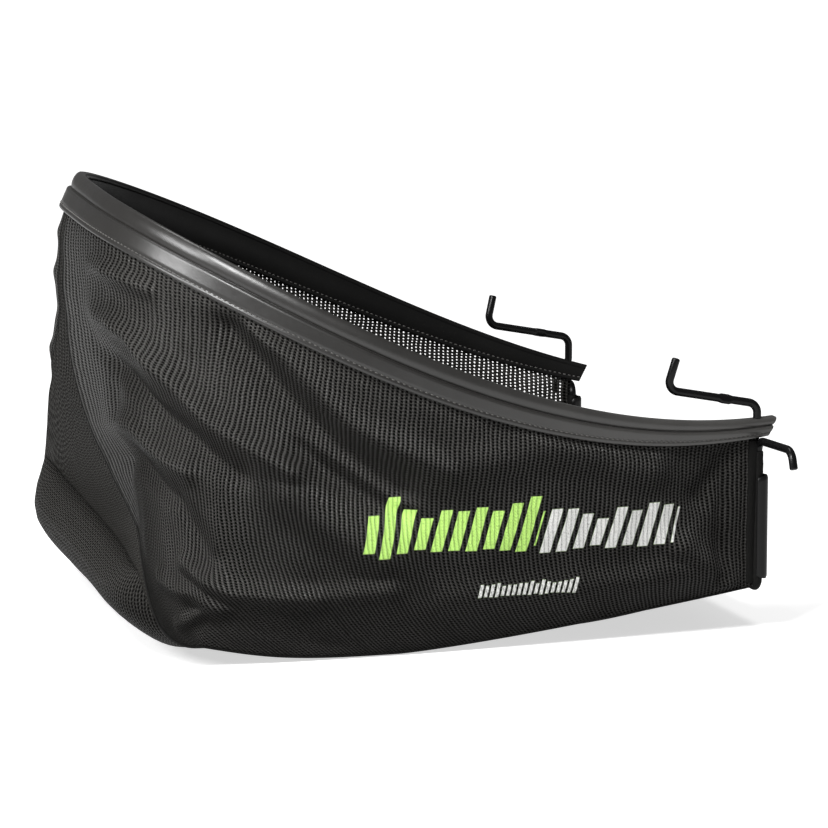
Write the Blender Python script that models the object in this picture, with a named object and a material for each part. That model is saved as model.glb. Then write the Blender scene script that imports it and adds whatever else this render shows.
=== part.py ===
"""Grass catcher for a push reel mower: a mesh bag hung on two bent steel rods.

Metres, +Z up. The open mouth faces +X, and the bag's right side is at -Y. The
origin is on the ground, at the middle of the flat spot that the bag rests on.
"""
import math

import bmesh
import bpy
from mathutils import Vector

# The bag's plan and heights
MOUTH_WIDTH = 0.400
BAG_LENGTH = 0.454
SIDE_BULGE = 0.030
PLAN_ROUNDNESS = 3.0
REST_TO_MOUTH = 0.245
FRONT_RIM_HEIGHT = 0.150
REAR_RIM_HEIGHT = 0.3205
FRONT_RIM_SLOPE = 0.109
REAR_RIM_SLOPE = 0.46
RIM_LEAN = math.radians(28)

# How far the soft rim's right side stands above its mean height, front, middle and rear
RIM_TWIST = (0.0085, -0.0160, -0.0145)

# Steel rods
ROD_DIAMETER = 0.006
ROD_CLEARANCE = 0.0003
BEND_RADIUS = 0.008
TIGHT_BEND_RADIUS = 0.005
CRIMP_LENGTH = 0.011
CRIMP_WIDTH = 0.0082
CRIMP_THICKNESS = 0.0048
CRIMP_TAPER = 0.0028

# Hooks of the top rod, measured from the rim's front ends and their mean height
LEG_SETBACK = 0.0145
HOOK_RISE = 0.0165
HOOK_RUN = 0.070
HOOK_RUN_RISE = 0.013
HOOK_TIP_RISE = 0.023
HOOK_TIP_LEAN = 0.006
HOOK_TIP_SPLAY = 0.003
HOOK_TWIST = 0.002
CRIMP_FROM_LEG = 0.020

# Uprights, arms and bottom bar of the front rod
UPRIGHT_SETBACK = 0.012
BOTTOM_BAR_HEIGHT = 0.034
ARM_REACH = 0.051
ARM_SWEEP = 0.0045
ARM_END_SPLAY = 0.005
ARM_END_DROP = 0.013
ARM_BEND_RADIUS = 0.010

# Plastic channel that closes over the rod and the bag's top edge
CHANNEL_FRONT_HEIGHT = 0.0150
CHANNEL_REAR_HEIGHT = 0.0295
CHANNEL_WALL = 0.0011
CHANNEL_ROOF = 0.0013
CHANNEL_EDGE = 0.0008
CHANNEL_STEP = 0.0012
UPPER_BAND_SHARE = 0.42

# Mesh cloth, its sleeves and the clips over them
CLOTH_THICKNESS = 0.0008
CLOTH_GAP = 0.0003
CLOTH_END_GAP = 0.0016
SEAM_HALF_GAP = 0.0003
SEAM_SPREAD = 6
SEAM_PROBE = 0.002
CLOTH_DEPTH_IN_CHANNEL = 0.0010
SLEEVE_WALL = 0.0005
CLIP_WALL = 0.0013
CLIP_RADIUS = 0.0050
CLIP_OFFSET = 0.0012
CLIP_OPENING = math.radians(100)
CLIP_LENGTH = 0.076
HEM_OVERLAP = 0.001

# Bag floor: a flat spot on the ground, rising to its sides, its front and its rear
FLAT_SPOT_LENGTH = 0.210
FLAT_SPOT_SHARE = 0.35
LOWEST_SIDE_HEIGHT = 0.0018
LOWEST_SIDE_SETBACK = 0.285
FLOOR_CORNER_RADIUS = 0.038
FLOOR_END_SETBACK = 0.459
FLOOR_LIP = 0.046
REAR_SEAM_HEIGHT = 0.080
REAR_SEAM_LIFT = 0.018
FLOOR_CORNER_HEIGHT = 0.010

# How steeply the floor's seam and its middle rise from their lowest places
FRONT_SEAM_POWER = 1.3
REAR_SEAM_POWER = 3
CORNER_SEAM_POWER = 1.5
FRONT_MIDDLE_POWER = 1.6
REAR_MIDDLE_POWER = 2
EDGE_RISE_POWER = 3

# Shares of the rim's length at which the cloth meets the start and end of a floor corner
CORNER_START_SHARE = 0.335
CORNER_END_SHARE = 0.450
COLUMN_DRIFT_POWER = 3

# Fullness of the walls between the rim and the floor
SIDE_FULLNESS = 0.006
REAR_FULLNESS = 0.008
SHOULDER_DROP = 0.13
FRONT_FADE = 0.080
REAR_START_SHARE = 0.30
REAR_START_SPAN = 0.12

# Soft folds that the side walls hang in. Each one runs from one place to another, and a
# place is a share of the rim's length and a share of the drop from the rim to the floor.
# The last two values are the fold's half width and how far it stands out or in.
FOLD_FADE = 0.12
FOLDS = [
    (0.460, 0.26, 0.392, 0.28, 0.020, 0.0040),
    (0.392, 0.28, 0.298, 0.42, 0.020, 0.0060),
    (0.460, 0.55, 0.362, 0.52, 0.018, 0.0040),
    (0.408, 0.82, 0.298, 0.79, 0.018, 0.0045),
    (0.338, 0.10, 0.256, 0.40, 0.022, -0.0060),
    (0.046, 0.33, 0.030, 0.12, 0.018, -0.0030),
    (0.030, 0.90, 0.054, 0.64, 0.018, 0.0035),
]

# Mesh counts
CHANNEL_STATIONS = 56
SEAM_STATION = 27
CORNER_ROWS = 8
REAR_STEPS = 8
FLOOR_STEPS = 20
ROD_SIDES = 10
SLEEVE_SIDES = 12
BEND_STEPS = 5
CLIP_STEPS = 14
PLAN_STEPS = 720
PLAN_PROBE = 0.004

# Sizes that follow from the ones above
ROD_RADIUS = ROD_DIAMETER / 2
MOUTH_X = REST_TO_MOUTH
HALF_WIDTH = MOUTH_WIDTH / 2
BORE_HALF = ROD_RADIUS + ROD_CLEARANCE
BORE_DROP_HALF = BORE_HALF / math.cos(RIM_LEAN - math.atan(FRONT_RIM_SLOPE))
BORE_DEPTH = CHANNEL_ROOF + BORE_DROP_HALF
BORE_BOTTOM = CHANNEL_ROOF + 2 * BORE_DROP_HALF
SLOT_HALF = CLOTH_THICKNESS / 2 + CLOTH_GAP
UPRIGHT_X = MOUTH_X - UPRIGHT_SETBACK
SLEEVE_RADIUS = BORE_HALF + SLEEVE_WALL
CLOTH_FRONT_X = UPRIGHT_X - SLEEVE_RADIUS - CLOTH_GAP
DOWN = Vector((-math.sin(RIM_LEAN), 0, -math.cos(RIM_LEAN)))
RIGHT = -1
LEFT = 1


def clamp(value, low=0.0, high=1.0):
    return max(low, min(high, value))


def lerp(start, end, share):
    return start + (end - start) * share


def ease(share):
    share = clamp(share)
    return share * share * (3 - 2 * share)


def piecewise(value, knots):
    """Straight interpolation through (value, result) knots."""
    for (low, low_result), (high, high_result) in zip(knots, knots[1:]):
        if value <= high:
            return lerp(low_result, high_result, (value - low) / (high - low))
    return knots[-1][1]


# The rim's curve, seen from above and from the side

def rim_plan_points():
    """Plan of the rim from its right front end round the rear to its left front end."""
    power = 2 / PLAN_ROUNDNESS
    points = []
    for step in range(PLAN_STEPS + 1):
        angle = math.pi * step / PLAN_STEPS
        back = BAG_LENGTH * abs(math.sin(angle)) ** power
        widest = HALF_WIDTH + SIDE_BULGE * math.sin(math.pi * back / BAG_LENGTH)
        half = widest * abs(math.cos(angle)) ** power
        side = LEFT if angle > math.pi / 2 else RIGHT
        points.append(Vector((MOUTH_X - back, side * half, 0)))
    return points


def running_lengths(points):
    lengths = [0.0]
    for start, end in zip(points, points[1:]):
        lengths.append(lengths[-1] + (end - start).length)
    return lengths


RIM_PLAN = rim_plan_points()
RIM_LENGTHS = running_lengths(RIM_PLAN)
RIM_LENGTH = RIM_LENGTHS[-1]


def plan_point(distance):
    """Point of the rim's plan at a distance from its right front end."""
    distance = clamp(distance, 0, RIM_LENGTH)
    low, high = 0, len(RIM_LENGTHS) - 1
    while high - low > 1:
        middle = (low + high) // 2
        if RIM_LENGTHS[middle] <= distance:
            low = middle
        else:
            high = middle
    span = RIM_LENGTHS[high] - RIM_LENGTHS[low]
    return RIM_PLAN[low].lerp(RIM_PLAN[high], (distance - RIM_LENGTHS[low]) / span)


def plan_outward(distance):
    """Horizontal direction that faces out of the bag."""
    tangent = plan_point(distance + PLAN_PROBE) - plan_point(distance - PLAN_PROBE)
    return Vector((-tangent.y, tangent.x, 0)).normalized()


def rim_height(x, y):
    """Height of the rim's top edge, with the twist of the soft rim."""
    back = (MOUTH_X - x) / BAG_LENGTH
    rise = REAR_RIM_HEIGHT - FRONT_RIM_HEIGHT
    start = FRONT_RIM_SLOPE * BAG_LENGTH
    end = REAR_RIM_SLOPE * BAG_LENGTH
    height = FRONT_RIM_HEIGHT + start * back
    height += (3 * rise - 2 * start - end) * back ** 2
    height += (start + end - 2 * rise) * back ** 3
    front, middle, rear = RIM_TWIST
    twist = front + (4 * middle - 3 * front - rear) * back
    twist += 2 * (front + rear - 2 * middle) * back ** 2
    return height - twist * y / HALF_WIDTH


def rim_point(distance):
    point = plan_point(distance)
    point.z = rim_height(point.x, point.y)
    return point


def channel_outward(distance):
    """Outward direction square to the channel's walls."""
    outward = plan_outward(distance)
    return (outward - DOWN * outward.dot(DOWN)).normalized()


def channel_height(distance):
    back = (MOUTH_X - plan_point(distance).x) / BAG_LENGTH
    return lerp(CHANNEL_REAR_HEIGHT, CHANNEL_FRONT_HEIGHT, (1 - back) ** 2)


def channel_foot(distance):
    """Middle of the channel's lower edge, where the cloth comes out."""
    return rim_point(distance) + DOWN * channel_height(distance)


def distance_of_foot(x):
    """Distance along the rim at which the channel's lower edge reaches x."""
    low, high = 0.0, RIM_LENGTH / 3
    for _ in range(40):
        middle = (low + high) / 2
        if channel_foot(middle).x > x:
            low = middle
        else:
            high = middle
    return low


CLOTH_START = distance_of_foot(CLOTH_FRONT_X)
STATIONS = [RIM_LENGTH * i / CHANNEL_STATIONS for i in range(CHANNEL_STATIONS + 1)]


# The floor's outline, from its right front corner round the rear to its left one

SIDE_RUN = CLOTH_FRONT_X - (MOUTH_X - FLOOR_END_SETBACK) - FLOOR_CORNER_RADIUS
CORNER_RUN = math.pi * FLOOR_CORNER_RADIUS / 2
REAR_RUN = 2 * (HALF_WIDTH - FLOOR_CORNER_RADIUS)
OUTLINE_RUN = 2 * SIDE_RUN + 2 * CORNER_RUN + REAR_RUN
CORNER_X = CLOTH_FRONT_X - SIDE_RUN


def side_height(x):
    """Height of the seam between a side panel and the floor."""
    lowest_x = MOUTH_X - LOWEST_SIDE_SETBACK
    if x > lowest_x:
        share = (x - lowest_x) / (CLOTH_FRONT_X - lowest_x)
        return lerp(LOWEST_SIDE_HEIGHT, BOTTOM_BAR_HEIGHT, share ** FRONT_SEAM_POWER)
    share = (lowest_x - x) / (lowest_x - CORNER_X)
    return lerp(LOWEST_SIDE_HEIGHT, FLOOR_CORNER_HEIGHT, share ** REAR_SEAM_POWER)


def corner_point(side, angle):
    """Point on a rear corner of the floor's outline, by the angle turned from the side."""
    x = CORNER_X - FLOOR_CORNER_RADIUS * math.sin(angle)
    y = side * (HALF_WIDTH - FLOOR_CORNER_RADIUS * (1 - math.cos(angle)))
    rise = ease(angle / (math.pi / 2)) ** CORNER_SEAM_POWER
    z = lerp(FLOOR_CORNER_HEIGHT, REAR_SEAM_HEIGHT, rise)
    return Vector((x, y, z))


def seam_lift(y, angle=math.pi / 2):
    """Twist of the floor's rear end: its left side stands higher."""
    return REAR_SEAM_LIFT * y / HALF_WIDTH * ease(angle / (math.pi / 2))


def outline_point(run):
    """Point of the seam between the walls and the floor."""
    side = RIGHT
    if run > OUTLINE_RUN / 2:
        side = LEFT
        run = OUTLINE_RUN - run
    run = max(run, 0)
    if run <= SIDE_RUN:
        x = CLOTH_FRONT_X - run
        return Vector((x, side * HALF_WIDTH, side_height(x)))
    if run <= SIDE_RUN + CORNER_RUN:
        angle = (run - SIDE_RUN) / FLOOR_CORNER_RADIUS
        point = corner_point(side, angle)
        point.z += seam_lift(point.y, angle)
        return point
    y = side * (OUTLINE_RUN / 2 - run)
    x = CORNER_X - FLOOR_CORNER_RADIUS
    return Vector((x, y, REAR_SEAM_HEIGHT + seam_lift(y)))


# Pairs of a distance along the rim and the run along the floor's outline below it
WALL_KNOTS = [
    (CLOTH_START, 0),
    (RIM_LENGTH * CORNER_START_SHARE, SIDE_RUN),
    (RIM_LENGTH * CORNER_END_SHARE, SIDE_RUN + CORNER_RUN),
    (RIM_LENGTH * (1 - CORNER_END_SHARE), OUTLINE_RUN - SIDE_RUN - CORNER_RUN),
    (RIM_LENGTH * (1 - CORNER_START_SHARE), OUTLINE_RUN - SIDE_RUN),
    (RIM_LENGTH - CLOTH_START, OUTLINE_RUN),
]


def outline_run(distance):
    return piecewise(distance, WALL_KNOTS)


def rim_distance(run):
    return piecewise(run, [(low, high) for high, low in WALL_KNOTS])


# Walls

def wall_fullness(distance, drop):
    """How far the wall stands out of the straight line from rim to floor."""
    near = min(distance, RIM_LENGTH - distance)
    rearward = ease((near / RIM_LENGTH - REAR_START_SHARE) / REAR_START_SPAN)
    side = SIDE_FULLNESS * math.sin(math.pi * drop) * ease((near - CLOTH_START) / FRONT_FADE)
    rear = REAR_FULLNESS * drop / SHOULDER_DROP * math.exp(1 - drop / SHOULDER_DROP)
    return lerp(side, rear * (1 - drop), rearward)


def fold_depth(distance, drop, height):
    """How far the folds carry a wall out or in, for a wall of some height."""
    along = min(distance, RIM_LENGTH - distance)
    down = drop * height
    depth = 0.0
    for start, start_drop, end, end_drop, half_width, stand_out in FOLDS:
        first, first_down = start * RIM_LENGTH, start_drop * height
        run, fall = end * RIM_LENGTH - first, end_drop * height - first_down
        share = (along - first) * run + (down - first_down) * fall
        share = clamp(share / (run * run + fall * fall))
        apart = math.hypot(along - first - share * run, down - first_down - share * fall)
        depth += stand_out * math.exp(-(apart / half_width) ** 2)
    fade = ease(drop / FOLD_FADE) * ease((1 - drop) / FOLD_FADE)
    return depth * fade * ease((along - CLOTH_START) / FRONT_FADE)


def wall_point(distance, drop):
    """Point of a wall, by distance along the rim and drop from rim (0) to floor (1)."""
    top = channel_foot(distance)
    bottom = outline_point(outline_run(distance))
    depth = wall_fullness(distance, drop)
    depth += fold_depth(distance, drop, (top - bottom).length)
    return top.lerp(bottom, drop) + plan_outward(distance) * depth


def seam_half_gap(drop):
    return SEAM_HALF_GAP * (1 + SEAM_SPREAD * drop)


def wall_column(distance_at, rows):
    """One column of a wall panel, from inside the channel down to the floor."""
    start = distance_at(0)
    tucked = rim_point(start) + DOWN * (BORE_BOTTOM + CLOTH_DEPTH_IN_CHANNEL)
    column = [tucked]
    for drop in rows:
        column.append(wall_point(distance_at(drop), drop))
    run = outline_run(distance_at(1))
    seam = (outline_point(run + SEAM_PROBE) - outline_point(run - SEAM_PROBE)).normalized()
    rise = column[-2] - column[-1]
    rise = (rise - seam * rise.dot(seam)).normalized()
    column[-1] += rise * (CLOTH_THICKNESS / 2 + CLOTH_END_GAP)
    return column


WALL_ROWS = [0, 0.04, 0.10, 0.18, 0.27, 0.36, 0.45, 0.54, 0.63, 0.72, 0.81, 0.90, 0.96, 1]


def column_path(top, run):
    """Distance along the rim of a column, which drifts to its run along the floor."""
    bottom = rim_distance(run)
    return lambda drop: lerp(top, bottom, drop ** COLUMN_DRIFT_POWER)


def side_columns(side):
    """Columns of a side panel, from its front edge to the rear seam."""
    tops = [CLOTH_START] + STATIONS[2:SEAM_STATION + 1]
    corner_steps = CORNER_ROWS // 2
    side_steps = len(tops) - 1 - corner_steps
    runs = [SIDE_RUN * step / side_steps for step in range(side_steps + 1)]
    runs += [SIDE_RUN + CORNER_RUN * step / CORNER_ROWS for step in range(1, corner_steps + 1)]
    columns = []
    for top, run in zip(tops, runs):
        path = column_path(top, run)
        share = (top - CLOTH_START) / (tops[-1] - CLOTH_START)

        def distance_at(drop, path=path, share=share):
            distance = path(drop) - seam_half_gap(drop) * share
            return distance if side == RIGHT else RIM_LENGTH - distance

        columns.append(wall_column(distance_at, WALL_ROWS))
    return columns


def rear_columns():
    """Columns of the rear panel, from its right seam to its left seam."""
    corner_steps = CORNER_ROWS // 2
    corner = [CORNER_RUN * step / CORNER_ROWS for step in range(corner_steps, CORNER_ROWS)]
    runs = [SIDE_RUN + run for run in corner]
    runs += [SIDE_RUN + CORNER_RUN + REAR_RUN * step / REAR_STEPS for step in range(REAR_STEPS + 1)]
    runs += [OUTLINE_RUN - SIDE_RUN - run for run in corner[::-1]]
    columns = []
    for index, run in enumerate(runs):
        share = index / (len(runs) - 1)
        path = column_path(lerp(STATIONS[SEAM_STATION], STATIONS[-1 - SEAM_STATION], share), run)

        def distance_at(drop, path=path, share=share):
            return path(drop) + seam_half_gap(drop) * (1 - 2 * share)

        columns.append(wall_column(distance_at, WALL_ROWS))
    return columns


# Floor

def floor_rows(side):
    """Middle and end of each row of the floor, from its front edge to its rear seam."""
    rows = []
    front_steps = SEAM_STATION - 1 - CORNER_ROWS // 2
    for step in range(front_steps + 1):
        x = lerp(CLOTH_FRONT_X, CORNER_X, step / front_steps)
        rows.append((floor_middle(x), Vector((x, side * HALF_WIDTH, side_height(x))), 0))
    for step in range(1, CORNER_ROWS + 1):
        angle = math.pi / 2 * step / CORNER_ROWS
        rows.append((floor_end(angle), corner_point(side, angle), angle))
    return rows


def floor_middle(x):
    """Middle of the floor ahead of its rear corners."""
    ground = CLOTH_THICKNESS / 2
    flat_half = FLAT_SPOT_LENGTH / 2
    if x > flat_half:
        share = (x - flat_half) / (CLOTH_FRONT_X - flat_half)
        return Vector((x, 0, lerp(ground, BOTTOM_BAR_HEIGHT, share ** FRONT_MIDDLE_POWER)))
    if x < -flat_half:
        share = (x + flat_half) / (CORNER_X + flat_half)
        return Vector((x, 0, lerp(ground, FLOOR_CORNER_HEIGHT / 2, share ** REAR_MIDDLE_POWER)))
    return Vector((x, 0, ground))


def floor_end(angle):
    """Middle of the floor's rear end, which turns up to the rear seam."""
    lip = FLOOR_LIP * math.sin(angle) ** 4 * math.sin(2 * angle)
    x = CORNER_X - FLOOR_CORNER_RADIUS * math.sin(angle) - lip
    z = lerp(FLOOR_CORNER_HEIGHT / 2, REAR_SEAM_HEIGHT, 1 - math.cos(angle))
    return Vector((x, 0, z))


def floor_columns():
    """Grid of the floor, from its right side to its left side."""
    columns = []
    for index in range(FLOOR_STEPS + 1):
        across = math.sin(math.pi / 2 * (2 * index / FLOOR_STEPS - 1))
        side = LEFT if across > 0 else RIGHT
        rise = clamp((abs(across) - FLAT_SPOT_SHARE) / (1 - FLAT_SPOT_SHARE))
        rise = rise ** EDGE_RISE_POWER
        column = []
        for middle, end, angle in floor_rows(side):
            point = middle.lerp(end, rise)
            point.y = end.y * abs(across)
            point.z += seam_lift(point.y, angle)
            column.append(point)
        columns.append(column)
    return columns


# Mesh builders

def clear_scene():
    for item in list(bpy.data.objects):
        bpy.data.objects.remove(item, do_unlink=True)


def make_material(name, color, roughness, metallic=0.0):
    material = bpy.data.materials.new(name)
    material.use_nodes = True
    shader = material.node_tree.nodes["Principled BSDF"]
    shader.inputs["Base Color"].default_value = (*color, 1)
    shader.inputs["Roughness"].default_value = roughness
    shader.inputs["Metallic"].default_value = metallic
    return material


def make_object(name, vertices, faces, material, smooth_angle=35):
    mesh = bpy.data.meshes.new(name)
    mesh.from_pydata([tuple(vertex) for vertex in vertices], [], faces)
    work = bmesh.new()
    work.from_mesh(mesh)
    bmesh.ops.triangulate(work, faces=[face for face in work.faces if len(face.verts) > 4])
    bmesh.ops.recalc_face_normals(work, faces=work.faces[:])
    work.to_mesh(mesh)
    work.free()
    mesh.shade_smooth()
    mesh.set_sharp_from_angle(angle=math.radians(smooth_angle))
    item = bpy.data.objects.new(name, mesh)
    item.data.materials.append(material)
    bpy.context.scene.collection.objects.link(item)
    return item


def grid_normal(columns, i, j):
    """Normal at a grid point, or at its inner neighbour for a point on the border."""
    i = max(1, min(i, len(columns) - 2))
    j = max(1, min(j, len(columns[0]) - 2))
    along = columns[i + 1][j] - columns[i - 1][j]
    down = columns[i][j + 1] - columns[i][j - 1]
    return along.cross(down).normalized()


def make_cloth(name, columns, material):
    """Sheet of cloth with an even thickness about a grid of points."""
    across, along = len(columns), len(columns[0])
    vertices = []
    for side in (0.5, -0.5):
        for i in range(across):
            for j in range(along):
                normal = grid_normal(columns, i, j)
                vertices.append(columns[i][j] + normal * CLOTH_THICKNESS * side)
    layer = across * along

    def corner(i, j, back=0):
        return back * layer + i * along + j

    faces = []
    for i in range(across - 1):
        for j in range(along - 1):
            for back in (0, 1):
                faces.append((corner(i, j, back), corner(i + 1, j, back),
                              corner(i + 1, j + 1, back), corner(i, j + 1, back)))
    border = [(i, 0) for i in range(across)]
    border += [(across - 1, j) for j in range(1, along)]
    border += [(i, along - 1) for i in range(across - 2, -1, -1)]
    border += [(0, j) for j in range(along - 2, 0, -1)]
    for start, end in zip(border, border[1:] + border[:1]):
        faces.append((corner(*start), corner(*end), corner(*end, back=1), corner(*start, back=1)))
    return make_object(name, vertices, faces, material, smooth_angle=60)


def section_frames(points):
    """Two directions square to a path at each of its points, without twist."""
    frames = []
    side = None
    for index, point in enumerate(points):
        ahead = points[min(index + 1, len(points) - 1)] - point
        behind = point - points[max(index - 1, 0)]
        tangent = (ahead.normalized() + behind.normalized()).normalized()
        if side is None:
            side = tangent.orthogonal()
        side = (side - tangent * side.dot(tangent)).normalized()
        frames.append((side, tangent.cross(side)))
    return frames


def ring_faces(first, second, count):
    faces = []
    for k in range(count):
        following = (k + 1) % count
        faces.append((first + k, first + following, second + following, second + k))
    return faces


def pipe_mesh(points, radius, sides, bore=0.0, widths=None):
    """Round bar, or a pipe where it has a bore, along a path."""
    frames = section_frames(points)
    shells = [radius] if bore == 0 else [radius, bore]
    vertices = []
    for shell in shells:
        for index, (point, (side, up)) in enumerate(zip(points, frames)):
            wide, tall = widths[index] if widths else (1, 1)
            for k in range(sides):
                angle = 2 * math.pi * (k + 0.5) / sides
                reach = side * (math.cos(angle) * wide) + up * (math.sin(angle) * tall)
                vertices.append(point + reach * shell)
    layer = len(points) * sides
    faces = []
    for shell in range(len(shells)):
        for index in range(len(points) - 1):
            start = shell * layer + index * sides
            faces += ring_faces(start, start + sides, sides)
    for first in (0, layer - sides):
        if bore:
            faces += ring_faces(first, first + layer, sides)
        else:
            faces.append(tuple(range(first, first + sides)))
    return vertices, faces


def bent_path(corners, radii):
    """Path through corners, with each inner corner rounded to its radius."""
    path = [corners[0]]
    for index in range(1, len(corners) - 1):
        corner = corners[index]
        back = (corners[index - 1] - corner).normalized()
        ahead = (corners[index + 1] - corner).normalized()
        half = back.angle(ahead) / 2
        radius = radii[index - 1]
        reach = radius / math.tan(half)
        centre = corner + (back + ahead).normalized() * (radius / math.sin(half))
        start = corner + back * reach - centre
        end = corner + ahead * reach - centre
        turn = start.angle(end)
        for step in range(BEND_STEPS + 1):
            share = step / BEND_STEPS
            first = math.sin((1 - share) * turn) / math.sin(turn)
            second = math.sin(share * turn) / math.sin(turn)
            path.append(centre + start * first + end * second)
    path.append(corners[-1])
    return path


# Plastic channel

def channel_section(height):
    """Outline of the channel: distance outward and depth below its top."""
    outer = BORE_HALF + CHANNEL_WALL
    split = height * UPPER_BAND_SHARE
    lower = outer + CHANNEL_STEP
    edge = CHANNEL_EDGE
    return [
        (outer - edge, 0),
        (outer, edge),
        (outer, split - edge),
        (outer - edge, split),
        (lower, split + edge),
        (lower, height - edge),
        (lower - edge, height),
        (SLOT_HALF, height),
        (SLOT_HALF, BORE_BOTTOM),
        (BORE_HALF, BORE_BOTTOM),
        (BORE_HALF, CHANNEL_ROOF),
        (-BORE_HALF, CHANNEL_ROOF),
        (-BORE_HALF, BORE_BOTTOM),
        (-SLOT_HALF, BORE_BOTTOM),
        (-SLOT_HALF, height),
        (edge - outer, height),
        (-outer, height - edge),
        (-outer, edge),
        (edge - outer, 0),
    ]


def make_channel(material):
    vertices = []
    for distance in STATIONS:
        top = rim_point(distance)
        outward = channel_outward(distance)
        for reach, depth in channel_section(channel_height(distance)):
            vertices.append(top + outward * reach + DOWN * depth)
    count = len(channel_section(CHANNEL_REAR_HEIGHT))
    faces = []
    for index in range(len(STATIONS) - 1):
        faces += ring_faces(index * count, (index + 1) * count, count)
    last = (len(STATIONS) - 1) * count
    faces += [tuple(range(count)), tuple(range(last, last + count))]
    return make_object("rim_channel", vertices, faces, material)


def cut(item, cutter_name, path, radius):
    """Cut a round passage along a path out of an object."""
    vertices, faces = pipe_mesh(path, radius, SLEEVE_SIDES)
    cutter = make_object(cutter_name, vertices, faces, item.data.materials[0])
    cutter.hide_render = True
    cutter.display_type = "WIRE"
    boolean = item.modifiers.new(cutter_name, "BOOLEAN")
    boolean.operation = "DIFFERENCE"
    boolean.solver = "EXACT"
    boolean.object = cutter


# Rods

def bore_point(distance):
    return rim_point(distance) + DOWN * BORE_DEPTH


def hook_corners(side):
    """Corners of a hook from its tip to where the rod enters the channel's bore."""
    leg = MOUTH_X - LEG_SETBACK
    base_z = FRONT_RIM_HEIGHT + HOOK_RISE - side * HOOK_TWIST
    entry = bore_point(LEG_SETBACK if side == RIGHT else RIM_LENGTH - LEG_SETBACK)
    y = entry.y
    elbow = Vector((leg - HOOK_RUN, y, base_z + HOOK_RUN_RISE))
    tip = elbow + Vector((HOOK_TIP_LEAN, side * HOOK_TIP_SPLAY, HOOK_TIP_RISE))
    return [tip, elbow, Vector((leg, y, base_z)), Vector((leg, y, entry.z))]


def top_rod_end(side):
    """Half of the top rod's free end, with its bends, from the tip into the bore."""
    inside = STATIONS[1] if side == RIGHT else RIM_LENGTH - STATIONS[1]
    corners = hook_corners(side) + [bore_point(inside)]
    return bent_path(corners, [BEND_RADIUS, BEND_RADIUS, TIGHT_BEND_RADIUS])


def crimped(path, side):
    """Path with stations at the crimp, and the crimp's flattened widths."""
    tip, elbow, base, entry = hook_corners(side)
    direction = (elbow - base).normalized()
    ends = [CRIMP_LENGTH, CRIMP_LENGTH - CRIMP_TAPER, CRIMP_TAPER, 0]
    flat = (CRIMP_WIDTH / ROD_DIAMETER, CRIMP_THICKNESS / ROD_DIAMETER)
    stations = [base + direction * (CRIMP_FROM_LEG + end) for end in ends]
    past_elbow = 1 + BEND_STEPS + 1
    points = path[:past_elbow] + stations + path[past_elbow:]
    widths = [(1, 1)] * past_elbow + [(1, 1), flat, flat, (1, 1)]
    widths += [(1, 1)] * (len(points) - len(widths))
    return points, widths


def make_top_rod(material):
    right, right_widths = crimped(top_rod_end(RIGHT), RIGHT)
    left, left_widths = crimped(top_rod_end(LEFT), LEFT)
    middle = [bore_point(distance) for distance in STATIONS[2:-2]]
    points = right + middle + left[::-1]
    widths = right_widths + [(1, 1)] * len(middle) + left_widths[::-1]
    vertices, faces = pipe_mesh(points, ROD_RADIUS, ROD_SIDES, widths=widths)
    return make_object("top_frame_rod", vertices, faces, material)


def arm_height(side):
    """Height of an arm's axis, which runs just below the channel's lower edge."""
    heights = []
    for x in (UPRIGHT_X - ROD_RADIUS, UPRIGHT_X + ROD_RADIUS):
        distance = distance_of_foot(x)
        heights.append(channel_foot(distance if side == RIGHT else RIM_LENGTH - distance).z)
    return min(heights) - ROD_CLEARANCE - ROD_RADIUS


def arm_corners(side):
    """Corners of the front rod from an arm's end to the bottom bar's corner."""
    y = side * HALF_WIDTH
    z = arm_height(side)
    bend = Vector((UPRIGHT_X + ARM_SWEEP, y + side * ARM_REACH, z))
    end = bend + Vector((0, side * ARM_END_SPLAY, -ARM_END_DROP))
    return [end, bend, Vector((UPRIGHT_X, y, z)), Vector((UPRIGHT_X, y, BOTTOM_BAR_HEIGHT))]


def make_front_rod(material):
    corners = arm_corners(RIGHT) + arm_corners(LEFT)[::-1]
    radii = [ARM_BEND_RADIUS, BEND_RADIUS, TIGHT_BEND_RADIUS]
    radii += radii[::-1]
    vertices, faces = pipe_mesh(bent_path(corners, radii), ROD_RADIUS, ROD_SIDES)
    return make_object("front_frame_rod", vertices, faces, material)


# Sleeves and clips

HEM_TOP = BOTTOM_BAR_HEIGHT + TIGHT_BEND_RADIUS + HEM_OVERLAP
CLIP_BOTTOM = HEM_TOP


def make_edge_sleeve(name, side, material):
    """Cloth sleeve on an upright."""
    y = side * HALF_WIDTH
    top = arm_height(side) - BEND_RADIUS
    path = [Vector((UPRIGHT_X, y, HEM_TOP + CLOTH_GAP)), Vector((UPRIGHT_X, y, top))]
    vertices, faces = pipe_mesh(path, SLEEVE_RADIUS, SLEEVE_SIDES, bore=BORE_HALF)
    return make_object(name, vertices, faces, material)


def make_floor_hem(material):
    """Cloth sleeve on the bottom bar and its two corners."""
    corners = []
    for side in (RIGHT, LEFT):
        y = side * HALF_WIDTH
        pair = [Vector((UPRIGHT_X, y, HEM_TOP)), Vector((UPRIGHT_X, y, BOTTOM_BAR_HEIGHT))]
        corners += pair if side == RIGHT else pair[::-1]
    path = bent_path(corners, [TIGHT_BEND_RADIUS] * 2)
    vertices, faces = pipe_mesh(path, SLEEVE_RADIUS, SLEEVE_SIDES, bore=BORE_HALF)
    return make_object("floor_hem_sleeve", vertices, faces, material)


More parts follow.
